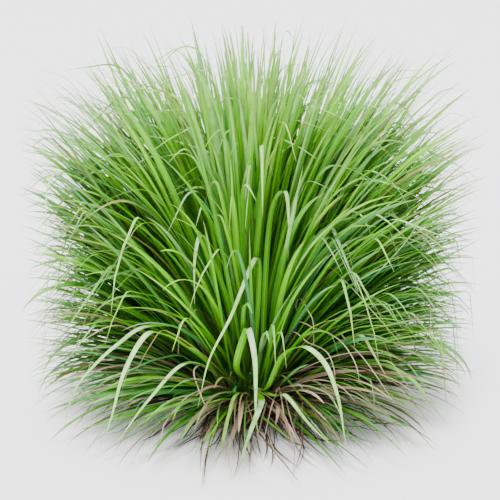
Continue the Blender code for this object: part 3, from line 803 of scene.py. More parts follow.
def growShoots(group):
    # every leaf takes the least crowded of a few draws, so that they fill the gaps between the main ones
    rng = np.random.default_rng(group["seed"])
    past = shootRule["sheath"]
    found = []
    for index in range(group["count"]):
        shoot = makeShoot(index, rng, group)
        leaves = []
        thinned = max(0.0, -math.sin(shoot.heading)) ** 2 if shoot.lean > dressing["lowSince"] else 0.0
        for _ in range(round(group["leaves"] * (1 - shootRule["frontThinned"] * thinned))):
            best = None
            for attempt in range(shootRule["tries"]):
                leaf = drawShootLeaf(shoot, attempt, rng, group)
                frames = leafFrames(shoot, leaf)
                if not insideDome(frames[0]):
                    continue
                crowding = space.crowding(frames[0][past:])
                if crowding is None:
                    continue
                if best is None or crowding < best[0]:
                    best = (crowding, leaf, frames)
                if crowding < shootRule["crowded"]:
                    break
            if best:
                space.own[tuple(space.index(best[2][0][past:]).T)] = shootRule["mark"]
                leaves.append(best[1:])
        found.append((shoot, leaves))
    return found


shootGroups = (tallShoots, backShoots, sideShoots, middleShoots, lowShoots)
extra = [shoot for group in shootGroups for shoot in growShoots(group)]
print("shoots:", len(extra), "with", sum(len(leaves) for _, leaves in extra), "leaves")

# Single thin blades that stand out in the photo: width, tone, dryness, and points on the midline; each comes
# from the crown's edge below its first point

dryStrands = [
    (0.0045, 0.75, 0.2, [(0.087, -0.17, 0.272), (0.137, -0.22, 0.275), (0.175, -0.26, 0.27),
        (0.19, -0.29, 0.241), (0.192, -0.3, 0.214)]),
    (0.005, 0.85, 0.2, [(0.097, -0.16, 0.288), (0.153, -0.21, 0.306), (0.191, -0.25, 0.305),
        (0.216, -0.28, 0.291), (0.237, -0.31, 0.26), (0.245, -0.33, 0.221)]),
    (0.0045, 0.8, 0.1, [(0.127, -0.15, 0.24), (0.193, -0.2, 0.297), (0.226, -0.25, 0.288),
        (0.266, -0.29, 0.254), (0.324, -0.335, 0.177)]),
    (0.0045, 0.7, 0.2, [(0.168, -0.15, 0.222), (0.228, -0.18, 0.268), (0.272, -0.22, 0.293),
        (0.341, -0.26, 0.287), (0.406, -0.29, 0.259)]),
    (0.005, 0.78, 0.1, [(0.096, -0.15, 0.169), (0.156, -0.19, 0.201), (0.245, -0.24, 0.224),
        (0.29, -0.27, 0.222), (0.342, -0.28, 0.202), (0.399, -0.295, 0.162)]),
    (0.0035, 0.72, 0.3, [(0.054, -0.14, 0.106), (0.065, -0.17, 0.134), (0.047, -0.24, 0.108),
        (0.032, -0.32, 0.078)]),
    (0.0035, 0.8, 0.1, [(0.059, -0.14, 0.106), (0.07, -0.175, 0.139), (0.081, -0.27, 0.103),
        (0.093, -0.34, 0.074)]),
    (0.0032, 0.66, 0.4, [(0.068, -0.14, 0.106), (0.079, -0.18, 0.136), (0.098, -0.27, 0.093),
        (0.12, -0.345, 0.067)]),
    (0.0042, 0.7, 0.2, [(-0.068, -0.15, 0.148), (-0.102, -0.19, 0.198), (-0.122, -0.21, 0.213),
        (-0.131, -0.225, 0.199), (-0.113, -0.26, 0.16), (-0.094, -0.29, 0.129)]),
    (0.0045, 0.95, 0.0, [(-0.085, -0.15, 0.127), (-0.141, -0.22, 0.143), (-0.175, -0.28, 0.131),
        (-0.195, -0.32, 0.116), (-0.202, -0.355, 0.087)]),
    (0.005, 0.9, 0.1, [(-0.238, -0.16, 0.244), (-0.29, -0.2, 0.307), (-0.328, -0.23, 0.319),
        (-0.364, -0.255, 0.307), (-0.433, -0.26, 0.265)]),
    (0.0105, 0.52, 0.2, [(0.109, -0.15, 0.292), (0.135, -0.18, 0.374), (0.164, -0.21, 0.422),
        (0.199, -0.24, 0.47), (0.258, -0.28, 0.516)]),
    (0.0045, 0.74, 0.2, [(0.192, -0.16, 0.174), (0.351, -0.21, 0.228), (0.41, -0.225, 0.297),
        (0.411, -0.235, 0.377), (0.43, -0.238, 0.391), (0.471, -0.24, 0.382)]),
    (0.004, 0.06, 0.2, [(-0.043, -0.14, 0.236), (-0.066, -0.165, 0.282), (-0.118, -0.2, 0.349),
        (-0.133, -0.215, 0.34), (-0.147, -0.225, 0.317)]),
    (0.004, 0.12, 0.1, [(-0.002, -0.14, 0.446), (-0.014, -0.165, 0.551), (-0.02, -0.175, 0.603),
        (-0.041, -0.185, 0.594), (-0.054, -0.19, 0.579)]),
    (0.005, 0.05, 0.1, [(-0.143, -0.13, 0.296), (-0.209, -0.16, 0.438), (-0.237, -0.175, 0.525),
        (-0.278, -0.19, 0.656), (-0.285, -0.195, 0.702)]),
    (0.0045, 0.08, 0.2, [(-0.107, -0.13, 0.347), (-0.181, -0.16, 0.54), (-0.221, -0.17, 0.632),
        (-0.235, -0.175, 0.68)]),
    (0.0045, 1.0, 0.0, [(0.11, -0.14, 0.275), (0.108, -0.17, 0.35), (0.118, -0.18, 0.369),
        (0.134, -0.195, 0.347), (0.146, -0.205, 0.321), (0.148, -0.22, 0.268)]),
    (0.0055, 0.62, 0.3, [(-0.085, -0.13, 0.166), (-0.142, -0.17, 0.282), (-0.161, -0.19, 0.315),
        (-0.165, -0.2, 0.294), (-0.168, -0.21, 0.238)]),
]
greenStrands = [
    (0.0085, 0.1, 0.1, [(-0.143, -0.17, 0.21), (-0.211, -0.2, 0.228), (-0.291, -0.23, 0.206),
        (-0.389, -0.25, 0.18), (-0.44, -0.255, 0.165)]),
    (0.006, 0.05, 0.1, [(0.097, -0.15, 0.527), (0.117, -0.175, 0.629), (0.134, -0.185, 0.652),
        (0.183, -0.215, 0.637), (0.203, -0.22, 0.618)]),
    (0.014, 0.12, 0.0, [(0.19, -0.15, 0.304), (0.275, -0.2, 0.423), (0.339, -0.235, 0.516),
        (0.378, -0.255, 0.589), (0.403, -0.265, 0.63)]),
    (0.0042, 0.95, 0.0, [(0.119, -0.12, 0.344), (0.173, -0.17, 0.442), (0.22, -0.22, 0.423),
        (0.28, -0.27, 0.367), (0.333, -0.31, 0.314)]),
    (0.008, 0.05, 0.1, [(-0.034, -0.14, 0.13), (-0.043, -0.2, 0.107), (-0.056, -0.27, 0.08),
        (-0.064, -0.335, 0.043)]),
    (0.0055, 0.8, 0.2, [(0.0, -0.14, 0.09), (-0.06, -0.21, 0.072), (-0.105, -0.27, 0.056),
        (-0.151, -0.33, 0.04)]),
    (0.0055, 0.85, 0.2, [(0.054, -0.14, 0.117), (0.081, -0.18, 0.134), (0.14, -0.25, 0.095),
        (0.199, -0.325, 0.05)]),
    (0.006, 0.7, 0.3, [(0.063, -0.13, 0.128), (0.079, -0.16, 0.164), (0.121, -0.21, 0.135),
        (0.186, -0.27, 0.09), (0.212, -0.325, 0.05)]),
    (0.01, 0.08, 0.0, [(0.122, -0.14, 0.133), (0.148, -0.18, 0.165), (0.188, -0.23, 0.145),
        (0.215, -0.28, 0.111)]),
]
strandFoot = (0.088, 0.045)  # how far out and how high they leave the crown


def strandFrames(route):
    # the blade's midline from the crown's edge through its points, its face turned up and to the front
    route = np.array(route)
    foot = route[0] * [1, 1, 0]
    foot = foot * strandFoot[0] / np.linalg.norm(foot) + [0, 0, strandFoot[1]]
    line = curveThrough(np.vstack([foot, route]), blade["strandSteps"])
    outward = unit((line[-1] - line[0]) * [1, 1, 0])
    return evenFrames(line, np.array([[-outward[1], outward[0], 0.0]]))


# Dead leaves low down: they come from the outer stems' feet, droop to the surface and lie along it

litter = {
    "count": 390,
    "ring": (0.078, 0.112),
    "rootHeight": (0.030, 0.062),
    "matShare": 0.35,  # so many lie flat underneath as a dark mat, shorter and wider than the rest; their dark tone is partly painted shade on the ground
    "matLean": radians(80, 100),
    "matLength": (0.12, 0.34),
    "matWider": 1.1,
    "matShadeTone": (0.0, 0.35),
    "lean": radians(38, 86),
    "length": (0.16, 0.46),
    "width": (0.0018, 0.0046),
    "bend": radians(10, 95),
    "bendOnset": (0.8, 2.0),
    "turn": math.radians(24),
    "wander": math.radians(34),
    "roll": 0.5,
    "twist": 1.4,
    "ground": (0.0040, 0.0100),
    "front": math.radians(298),  # more of them lie this way
    "frontShare": 0.45,
    "frontSpread": math.radians(40),
    "paleShare": 0.42,
    "paleTone": (0.72, 1.0),
    "darkTone": (0.0, 0.35),
    "age": (0.0, 0.6),
    "paintedSheenSince": (0.8, 3.0),
    "seed": 5,
}


def layOnGround(line, ground):
    # a line may not sink under the surface: z = ground + s log(1 + exp((z - ground) / s)), a soft step
    soft = 0.004
    lift = (line[:, 2] - ground) / soft
    line[:, 2] = ground + soft * np.logaddexp(0, lift)
    return line


def growLitter():
    rng = np.random.default_rng(litter["seed"])
    found = []
    for _ in range(litter["count"]):
        heading = rng.uniform(0, 2 * math.pi)
        if rng.uniform() < litter["frontShare"]:
            heading = rng.normal(litter["front"], litter["frontSpread"])
        radius = rng.uniform(*litter["ring"])
        root = radius * leaning(math.pi / 2, heading) + [0, 0, rng.uniform(*litter["rootHeight"])]
        mat = rng.uniform() < litter["matShare"]
        share = np.linspace(0, 1, leafRule["fineSteps"])
        leans = rng.uniform(*litter["matLean" if mat else "lean"])
        leans = leans + rng.uniform(*litter["bend"]) * share ** rng.uniform(*litter["bendOnset"])
        headings = heading + rng.normal(0, litter["turn"]) + rng.normal(0, litter["wander"]) * share
        line = walk(root, leans, headings, rng.uniform(*litter["matLength" if mat else "length"]))
        line = layOnGround(line, rng.uniform(*litter["ground"]))
        turn = rng.normal(0, litter["roll"]) + rng.normal(0, litter["twist"]) * share
        aside = np.stack([-np.sin(headings), np.cos(headings), np.sin(turn) * 0.9], axis=-1)
        frames = evenFrames(line, aside)
        if insideDome(frames[0] * [1, 1, 0] + [0, 0, 0.1]):
            found.append((rng.uniform(*litter["width"]) * (litter["matWider"] if mat else 1), frames, mat))
    return found


fallen = growLitter()
print("dead leaves:", len(fallen))


# How open each place in the clump is to the sky: light thins out as exp(-half the leaf area met on the way)

# the blades' colour takes painted shade from this, darker where less sky is open
haze = {
    "cell": 0.020,
    "area": 0.55,
    # height in degrees, how many round the sky, and their weight
    "directions": [(12, 8, 0.7), (35, 8, 1.0), (60, 6, 1.0), (88, 1, 1.5)],
}
hazeLow = np.array([-0.60, -0.60, 0.0])
hazeShape = (60, 60, 50)


def leafDensity(leaves):
    # leaf area in each cell, over the cell's volume
    density = np.zeros(hazeShape)
    for width, line in leaves:
        at = np.clip(((line - hazeLow) / haze["cell"]).astype(int), 0, np.array(hazeShape) - 1)
        step = np.linalg.norm(line[-1] - line[-2])
        np.add.at(density, tuple(at.T), width * step)
    return density / haze["cell"] ** 3


def measureOpenness(density):
    reach = max(hazeShape)
    padded = np.pad(density, reach)
    total, weights = np.zeros(hazeShape), 0.0
    for height, count, weight in haze["directions"]:
        for turn in np.arange(count) * 2 * math.pi / count:
            way = leaning(math.radians(90 - height), turn)
            met = np.zeros(hazeShape)
            for step in range(1, reach):
                x, y, z = np.round(way * step).astype(int) + reach
                met += padded[x:x + hazeShape[0], y:y + hazeShape[1], z:z + hazeShape[2]]
            total += weight * np.exp(-haze["area"] * met * haze["cell"])
            weights += weight
    return total / weights


def sampleGrid(grid, points):
    # a value between the eight nearest cells' middles, weighted by how near each is
    place = (points - hazeLow) / haze["cell"] - 0.5
    place = np.clip(place, 0, np.array(hazeShape) - 1.001)
    low = place.astype(int)
    part = place - low
    found = np.zeros(len(points))
    for corner in np.ndindex(2, 2, 2):
        weight = np.where(corner, part, 1 - part).prod(axis=1)
        found += weight * grid[tuple((low + corner).T)]
    return found


everyLeaf = [(leaf["width"], frames[0]) for leaves in grown for leaf, frames in leaves]
everyLeaf += [(leaf["width"], frames[0]) for _, leaves in extra for leaf, frames in leaves]
openness = measureOpenness(leafDensity(everyLeaf))
print("openness to the sky, darkest and lightest:", round(openness.min(), 3), round(openness.max(), 3))

# Materials


def addNode(tree, kind, settings=None, inputs=None):
    # a node with its settings, and its inputs set to values or linked to sockets
    node = tree.nodes.new(kind)
    for key, value in (settings or {}).items():
        setattr(node, key, value)
    for key, value in (inputs or {}).items():
        if isinstance(value, bpy.types.NodeSocket):
            tree.links.new(value, node.inputs[key])
        else:
            node.inputs[key].default_value = value
    return node


def calc(tree, operation, a, b=0.0, clamp=False):
    node = addNode(tree, "ShaderNodeMath", {"operation": operation, "use_clamp": clamp}, {0: a, 1: b})
    return node.outputs[0]


def times(tree, a, b):
    return calc(tree, "MULTIPLY", a, b)


def rescale(tree, value, low, high, toLow=0.0, toHigh=1.0):
    ends = {0: value, 1: low, 2: high, 3: toLow, 4: toHigh}
    return addNode(tree, "ShaderNodeMapRange", {"clamp": True}, ends).outputs[0]


def mixColour(tree, factor, a, b, how="MIX"):
    node = addNode(tree, "ShaderNodeMix", {"data_type": "RGBA", "blend_type": how}, {0: factor, 6: a, 7: b})
    return node.outputs[2]


def noiseOf(tree, place, scale, detail):
    grain = {"Vector": place, "Scale": scale, "Detail": detail}
    return addNode(tree, "ShaderNodeTexNoise", None, grain).outputs[0]


def rampOf(tree, factor, stops):
    node = addNode(tree, "ShaderNodeValToRGB", None, {0: factor})
    stopsThere = node.color_ramp.elements
    stopsThere[0].position, stopsThere[0].color = stops[0]
    stopsThere[1].position, stopsThere[1].color = stops[-1]
    for position, colour in stops[1:-1]:
        stopsThere.new(position).color = colour
    return node.outputs[0]


def newMaterial(name):
    made = bpy.data.materials.new(name)
    made.use_nodes = True
    return made, made.node_tree, made.node_tree.nodes["Principled BSDF"]


def linkShader(tree, shader, colour, rough, bump):
    # bump is the settings and the height of a bump node
    relief = addNode(tree, "ShaderNodeBump", None, bump)
    for socket, value in (("Base Color", colour), ("Roughness", rough), ("Normal", relief.outputs[0])):
        tree.links.new(value, shader.inputs[socket])


def newGroup(name, inputs, outputs):
    group = bpy.data.node_groups.new(name, "ShaderNodeTree")
    for socket, value in inputs.items():
        made = group.interface.new_socket(socket, in_out="INPUT", socket_type="NodeSocketFloat")
        made.default_value = value
    for socket in outputs:
        group.interface.new_socket(socket, in_out="OUTPUT", socket_type="NodeSocketFloat")
    return group, group.nodes.new("NodeGroupInput"), group.nodes.new("NodeGroupOutput")


def makeVeinGroup():
    # fine ribs that run the length of a blade, with its pale midrib and its thin rough edge
    group, into, out = newGroup("bladeVeins", {"Across": 0.0, "Ribs": 9.0, "Midrib Width": 0.09},
                                ["Ribs", "Midrib", "Edge"])
    side = calc(group, "ABSOLUTE", into.outputs["Across"])
    wave = calc(group, "SINE", times(group, side, times(group, into.outputs["Ribs"], 2 * math.pi)))
    group.links.new(rescale(group, wave, -1.0, 1.0), out.inputs["Ribs"])
    midrib = calc(group, "DIVIDE", side, into.outputs["Midrib Width"])
    group.links.new(rescale(group, midrib, 0.6, 1.3, 1.0, 0.0), out.inputs["Midrib"])
    group.links.new(rescale(group, side, 0.86, 0.99), out.inputs["Edge"])
    return group


def makePatchGroup():
    # brown and yellow patches where a leaf ages, larger with age, and small specks
    group, into, out = newGroup("agePatches", {"Age": 0.0, "Scale": 30.0}, ["Patches", "Specks"])
    place = addNode(group, "ShaderNodeTexCoord").outputs["Object"]
    large = noiseOf(group, place, into.outputs["Scale"], 3.0)
    reach = calc(group, "ADD", large, times(group, into.outputs["Age"], 0.75))
    group.links.new(rescale(group, reach, 0.72, 0.95), out.inputs["Patches"])
    group.links.new(rescale(group, noiseOf(group, place, 260.0, 2.0), 0.66, 0.74), out.inputs["Specks"])
    return group


veinGroup = makeVeinGroup()
patchGroup = makePatchGroup()


def makeBladeMaterial(name, look):
    made, tree, shader = newMaterial(name)
    shader.inputs["IOR"].default_value = look["ior"]
    shader.inputs["Specular IOR Level"].default_value = look["specular"]
    values = {
        key: addNode(tree, "ShaderNodeAttribute", {"attribute_name": key}).outputs["Fac"]
        for key in ("leafAlong", "leafAcross", "leafTone", "leafAge", "leafPaintedSheen", "leafLight")
    }
    place = addNode(tree, "ShaderNodeTexCoord").outputs["Object"]
    veins = addNode(tree, "ShaderNodeGroup", {"node_tree": veinGroup}, {
        "Across": values["leafAcross"], "Ribs": look["ribs"], "Midrib Width": look["midribWidth"]}).outputs
    patches = addNode(tree, "ShaderNodeGroup", {"node_tree": patchGroup}, {
        "Age": values["leafAge"], "Scale": look["patchScale"]}).outputs
    # the colour runs from the sheath to the tip, and its tone and coolness differ from leaf to leaf
    drift = rescale(tree, noiseOf(tree, place, 9.0, 2.0), 0.3, 0.7, -0.07, 0.07)
    along = calc(tree, "ADD", values["leafAlong"], drift)
    colour = rampOf(tree, calc(tree, "ADD", times(tree, along, 0.9), 0.1), look["alongStops"])
    colour = mixColour(tree, 1.0, colour, rampOf(tree, values["leafTone"], look["toneStops"]), "MULTIPLY")
    cool = rescale(tree, values["leafTone"], 0.0, look["coolBelow"], look["coolAmount"], 0.0)
    colour = mixColour(tree, cool, colour, look["coolColour"])
    # painted sky sheen: past its start a leaf turns unevenly pale, as a reflection of the sky, and stays
    # greener at its edges
    faded = rescale(tree, noiseOf(tree, place, 38.0, 4.0), 0.30, 0.62, look["paintedSheenLeast"], look["paintedSheenMost"])
    side = calc(tree, "ABSOLUTE", values["leafAcross"])
    pale = times(tree, values["leafPaintedSheen"], times(tree, faded, rescale(tree, side, 0.3, 0.95, 1.0, 0.6)))
    colour = mixColour(tree, pale, colour, look["paintedSheenColour"])
    ribShade = rescale(tree, veins["Ribs"], 0.0, 1.0, 1.0 - look["ribShade"], 1.0)
    grey = addNode(tree, "ShaderNodeCombineColor", None, {0: ribShade, 1: ribShade, 2: ribShade}).outputs[0]
    colour = mixColour(tree, 1.0, colour, grey, "MULTIPLY")
    tip = rescale(tree, calc(tree, "ADD", along, times(tree, values["leafAge"], 0.5)), 0.93, 1.12)
    layers = {"midrib": veins["Midrib"], "tip": tip, "patch": patches["Patches"], "speck": patches["Specks"],
              "edge": veins["Edge"]}
    for layer, mask in layers.items():
        colour = mixColour(tree, times(tree, mask, look[layer + "Amount"]), colour, look[layer + "Colour"])
    # painted shade: leaves are darkened where little sky reaches them inside the clump, and low down, less
    # where the painted sheen is
    paintedShade = rescale(tree, values["leafLight"], look["paintedShadeBelow"], look["lightAbove"], look["paintedShadeAmount"], 0.0)
    height = addNode(tree, "ShaderNodeSeparateXYZ", None, {0: place}).outputs[2]
    low = rescale(tree, height, 0.02, look["lowShadeBelow"], look["lowShadeAmount"], 0.0)
    shade = rescale(tree, values["leafLight"], 0.2, 0.7, 1.0, look["lowShadeLeast"])
    paintedShade = calc(tree, "MAXIMUM", paintedShade, times(tree, low, shade))
    paintedShade = times(tree, paintedShade, rescale(tree, pale, 0.0, 1.0, 1.0, 0.2))
    colour = mixColour(tree, paintedShade, colour, look["paintedShadeColour"], "MULTIPLY")
    gloss = rescale(tree, noiseOf(tree, place, 70.0, 2.0), 0.3, 0.7, look["roughLow"], look["roughHigh"])
    rough = calc(tree, "ADD", gloss, times(tree, values["leafAge"], 0.2), True)
    linkShader(tree, shader, colour, rough, {
        "Strength": look["bump"], "Distance": look["bumpDepth"], "Height": veins["Ribs"]})
    return made


greenLook = {
    "ior": 1.42,
    "specular": 0.22,
    "coolBelow": 0.45,
    "coolAmount": 0.80,
    "coolColour": (0.062, 0.340, 0.135, 1),
    "ribs": 7.0,
    "midribWidth": 0.12,
    "patchScale": 26.0,
    "alongStops": [
        (0.00, (0.115, 0.130, 0.028, 1)),
        (0.16, (0.082, 0.290, 0.002, 1)),
        (0.45, (0.092, 0.440, 0.001, 1)),
        (0.75, (0.125, 0.510, 0.006, 1)),
        (1.00, (0.220, 0.620, 0.085, 1)),
    ],
    "toneStops": [
        (0.00, (0.55, 0.60, 1.60, 1)),
        (0.30, (0.75, 0.80, 1.20, 1)),
        (0.65, (1.08, 1.06, 0.70, 1)),
        (1.00, (1.80, 1.38, 0.40, 1)),
    ],
    "ribShade": 0.34,
    "midribAmount": 0.50,
    "midribColour": (0.340, 0.600, 0.080, 1),
    "paintedSheenLeast": 0.35,
    "paintedSheenMost": 1.0,
    "paintedSheenColour": (0.740, 0.900, 0.590, 1),
    "tipAmount": 0.6,
    "tipColour": (0.300, 0.240, 0.120, 1),
    "patchAmount": 0.8,
    "patchColour": (0.210, 0.150, 0.045, 1),
    "speckAmount": 0.25,
    "speckColour": (0.140, 0.080, 0.030, 1),
    "edgeAmount": 0.25,
    "edgeColour": (0.290, 0.480, 0.110, 1),
    "paintedShadeBelow": 0.05,
    "lightAbove": 0.34,
    "paintedShadeAmount": 0.85,
    "lowShadeBelow": 0.24,
    "lowShadeAmount": 0.95,
    "lowShadeLeast": 0.6,
    "paintedShadeColour": (0.24, 0.36, 0.10, 1),
    "roughLow": 0.34,
    "roughHigh": 0.50,
    "bump": 0.35,
    "bumpDepth": 0.0004,
}
dryLook = {
    **greenLook,
    "ribs": 6.0,
    "lowShadeLeast": 0.3,
    "coolAmount": 0.0,
    "paintedShadeColour": (0.22, 0.20, 0.16, 1),
    "alongStops": [
        (0.00, (0.110, 0.065, 0.045, 1)),
        (0.30, (0.290, 0.190, 0.145, 1)),
        (0.65, (0.460, 0.340, 0.270, 1)),
        (1.00, (0.580, 0.470, 0.380, 1)),
    ],
    "toneStops": [
        (0.00, (0.16, 0.13, 0.12, 1)),
        (0.40, (0.60, 0.50, 0.42, 1)),
        (0.75, (1.20, 1.10, 1.00, 1)),
        (1.00, (1.55, 1.60, 1.45, 1)),
    ],
    "midribColour": (0.300, 0.230, 0.160, 1),
    "paintedSheenColour": (0.520, 0.450, 0.350, 1),
    "tipAmount": 0.2,
    "patchColour": (0.110, 0.060, 0.035, 1),
    "patchAmount": 0.5,
    "edgeAmount": 0.1,
    "roughLow": 0.60,
    "roughHigh": 0.80,
}
greenBlade = makeBladeMaterial("greenBlade", greenLook)
dryBlade = makeBladeMaterial("dryBlade", dryLook)

# The stalks' pieces


def addObject(name, data):
    made = bpy.data.objects.new(name, data)
    bpy.context.scene.collection.objects.link(made)
    return made


def addPiece(name, skin, finish, slot, *nodes):
    mesh = skin.makeMesh(name)
    mesh.materials.append(finish)
    piece = addObject(name, mesh)
    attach(piece, "root")
    if nodes:
        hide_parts(*nodes)


def stalkNames():
    counts, names = {"": 0, "dry_": 0}, []
    for stalk in stalks:
        kind = "dry_" if stalk.dry else ""
        counts[kind] += 1
        names.append(f"{kind}stalk_{counts[kind]:02d}")
    return names


def nearestOwner(foot, dry):
    # the stalk of the same kind that stands nearest
    gaps = [np.linalg.norm(stalk.line[0] - foot) if stalk.dry == dry else 9.0 for stalk in stalks]
    return int(np.argmin(gaps))


def drawAge(stalk, rng):
    if rng.uniform() < dressing["agedShare"] + dressing["agedLow"] * (stalk.lean > dressing["lowSince"]):
        return rng.uniform(*dressing["agedRange"])
    return rng.uniform(*dressing["freshRange"])


def drawTone(stalk, rng):
    if stalk.dry:
        return rng.uniform(0.0, 1.0)
    # the yellower, brighter middle is partly a painted glow of light through the blades
    middle = dressing["toneMiddle"] + (dressing["toneOuter"] - dressing["toneMiddle"]) * stalk.ring**1.5
    return float(np.clip(middle + rng.normal(0, dressing["toneDrift"]), 0.0, 1.0))


def dressStalks():
    rng = np.random.default_rng(dressing["seed"])
    skins = [Skin() for _ in stalks]
    owners = [(owner, stalk, grown[owner]) for owner, stalk in enumerate(stalks)]
    owners += [(nearestOwner(shoot.line[0], shoot.dry), shoot, leaves) for shoot, leaves in extra]
    for owner, stalk, leaves in owners:
        fineness = stemLook["main" if stalk in stalks else "further"]
        addStem(skins[owner], stalk, drawTone(stalk, rng), stemLook["age"], *fineness)
        for leaf, frames in leaves:
            pale, paleness = rng.uniform(*dressing["paintedSheenSince"]), rng.uniform(*dressing["paleness"])
            if leaf["fold"]:
                pale, paleness = leaf["fold"] + 0.4 * leaf["foldOver"], leaf["paleness"]
            addBlade(skins[owner], frames, leaf["width"], blade["rings"], drawTone(stalk, rng),
                     drawAge(stalk, rng), pale, leaf.get("taper", 0.0), paleness)
    for owner, width, line, aside in bent:
        frames = evenFrames(curveThrough(line, blade["bentSteps"]), aside[None])
        highest = frames[0][:, 2].argmax() / len(frames[0])
        addBlade(skins[owner], frames, width, blade["bentRings"], rng.uniform(*dressing["bentTone"]),
                 dressing["bentAge"], highest, blade["bentTaper"])
    for width, tone, age, route in greenStrands:
        frames = strandFrames(route)
        owner = nearestOwner(frames[0][0], False)
        addBlade(skins[owner], frames, width, blade["bentRings"], tone, age, blade["strandSheenSince"])
    for name, stalk, skin in zip(stalkNames(), stalks, skins):
        finish, slot = (dryBlade, "dry_leaf") if stalk.dry else (greenBlade, "leaf")
        addPiece(name + "_leaves", skin, finish, slot, name)
    return sum(len(skin.maps) for skin in skins)


print("blades and stems:", dressStalks())


def dressLitter():
    rng = np.random.default_rng(litter["seed"] + 1)
    skin = Skin()
    for width, frames, mat in fallen:
        pale = rng.uniform() < litter["paleShare"]
        # the mat's dark tone is partly painted shade under the clump
        tone = rng.uniform(*litter["matShadeTone" if mat else "paleTone" if pale else "darkTone"])
        addBlade(skin, frames, width, blade["rings"], tone, rng.uniform(*litter["age"]),
                 rng.uniform(*litter["paintedSheenSince"]))
    for width, tone, age, route in dryStrands:
        addBlade(skin, strandFrames(route), width, blade["bentRings"], tone, age, blade["dryStrandSheenSince"])
    addPiece("dead_leaves", skin, dryBlade, "dry_leaf")


dressLitter()

# The crown: a lumpy rootstock with a flat foot, and cut roots round it

crown = {
    "footRadius": 0.0995,
    "radius": 0.1150,
    "height": 0.0300,
    "dome": 0.006,
    "around": 240,
    "rings": 90,
    "footEnd": 0.22,  # shares of the profile: where the flat foot ends and where the top starts
    "topStart": 0.56,
    "lump": 0.0040,
    "collar": 0.0050,
    "collarReach": 0.0095,
    "roots": 150,
    "rootRings": 10,
    "rootSides": 6,
    "rootRadius": (0.0006, 0.0015),
    "rootLength": (0.015, 0.060),
    "rootInside": 0.006,
    "rootHeight": (0.006, 0.022),
    "rootLean": (1.5, 1.9),
    "rootBend": (0.1, 0.7),
    "rootTurn": 0.25,
    "rootWander": 0.9,
    "rootTaper": 0.35,
    "rootGround": 0.0012,
    "seed": 12,
}


def crownSurface():
    # a turned profile: out along the flat foot, round the belly and in over a low dome, each ring's radius
    # waved by sines of the turn, and the top raised in a collar round every stem: exp(-(gap / reach)^2)
    share = np.linspace(0, 1, crown["rings"])
    angle = np.linspace(0, math.pi, crown["rings"])
    belly = (crown["radius"] + crown["footRadius"]) / 2
    stops = [0, crown["footEnd"], 0.30, 0.42, 0.52, 0.60, 1.0]
    radii = [0.004, crown["footRadius"], belly, crown["radius"], crown["radius"] - 0.002, belly, 0.003]
    heights = [0, 0, 0.004, 0.012, 0.022, crown["height"], crown["height"] + crown["dome"]]
    profileR, profileZ = np.interp(share, stops, radii), np.interp(share, stops, heights)
    turns = np.arange(crown["around"]) * 2 * math.pi / crown["around"]
    wave = np.sin(7 * turns) + 0.6 * np.sin(11 * turns + 1.3) + 0.35 * np.sin(23 * turns + 0.4)
    swell = smooth((share - crown["footEnd"]) / 0.1) * smooth((1 - share) / 0.3)
    fine = np.sin(41 * turns[None] + 9 * share[:, None] * 6) * np.sin(angle[:, None] * 17)
    reach = profileR[:, None] + crown["lump"] * swell[:, None] * (wave[None] / 1.9 + 0.25 * fine)
    height = np.broadcast_to(profileZ[:, None], reach.shape)
    grid = np.stack([reach * np.cos(-turns), reach * np.sin(-turns), height], axis=-1)
    feet = np.array([shoot.line[0][:2] for shoot in stalks + [shoot for shoot, _ in extra]])
    top = share > crown["topStart"]
    gap = np.full(reach.shape, 1.0)
    for foot in feet:
        gap[top] = np.minimum(gap[top], np.linalg.norm(grid[top][..., :2] - foot, axis=-1))
    raised = crown["collar"] * np.exp(-((gap / crown["collarReach"]) ** 2))
    grid[..., 2] += raised * smooth((share - crown["topStart"]) / 0.08)[:, None]
    return grid


def rootTube(rng):
    # a round tube along a line that leaves the belly, droops and lies on the surface: line + r (cos, sin)
    heading = rng.uniform(0, 2 * math.pi)
    share = np.linspace(0, 1, crown["rootRings"])
    start = crown["radius"] - crown["rootInside"]
    height = rng.uniform(*crown["rootHeight"])
    foot = np.array([start * math.cos(heading), start * math.sin(heading), height])
    leans = rng.uniform(*crown["rootLean"]) + rng.uniform(*crown["rootBend"]) * share
    headings = heading + rng.normal(0, crown["rootTurn"]) + rng.normal(0, crown["rootWander"]) * share
    line = walk(foot, leans, headings, rng.uniform(*crown["rootLength"]))
    radius = rng.uniform(*crown["rootRadius"])
    line = layOnGround(line, radius + crown["rootGround"])
    along = unit(np.gradient(line, axis=0))
    level = unit(np.cross(along, [0, 0, 1.0]))
    upper = np.cross(level, along)
    turns = -np.arange(crown["rootSides"]) * 2 * math.pi / crown["rootSides"]
    radii = radius * (1 - crown["rootTaper"] * share)[:, None]
    return line[:, None] + (radii * np.cos(turns))[..., None] * level[:, None] \
        + (radii * np.sin(turns))[..., None] * upper[:, None]


rootLook = {
    "blotches": (45.0, 5.0),  # scale and detail
    "wrinkles": (320.0, 4.0),
    "stops": [
        (0.30, (0.020, 0.012, 0.007, 1)),
        (0.55, (0.070, 0.040, 0.020, 1)),
        (0.75, (0.170, 0.110, 0.060, 1)),
    ],
    "rubbedAmount": 0.6,
    "rubbedColour": (0.210, 0.150, 0.090, 1),
    "rough": (0.80, 0.95),
    "bump": 0.7,
    "bumpDepth": 0.0012,
}


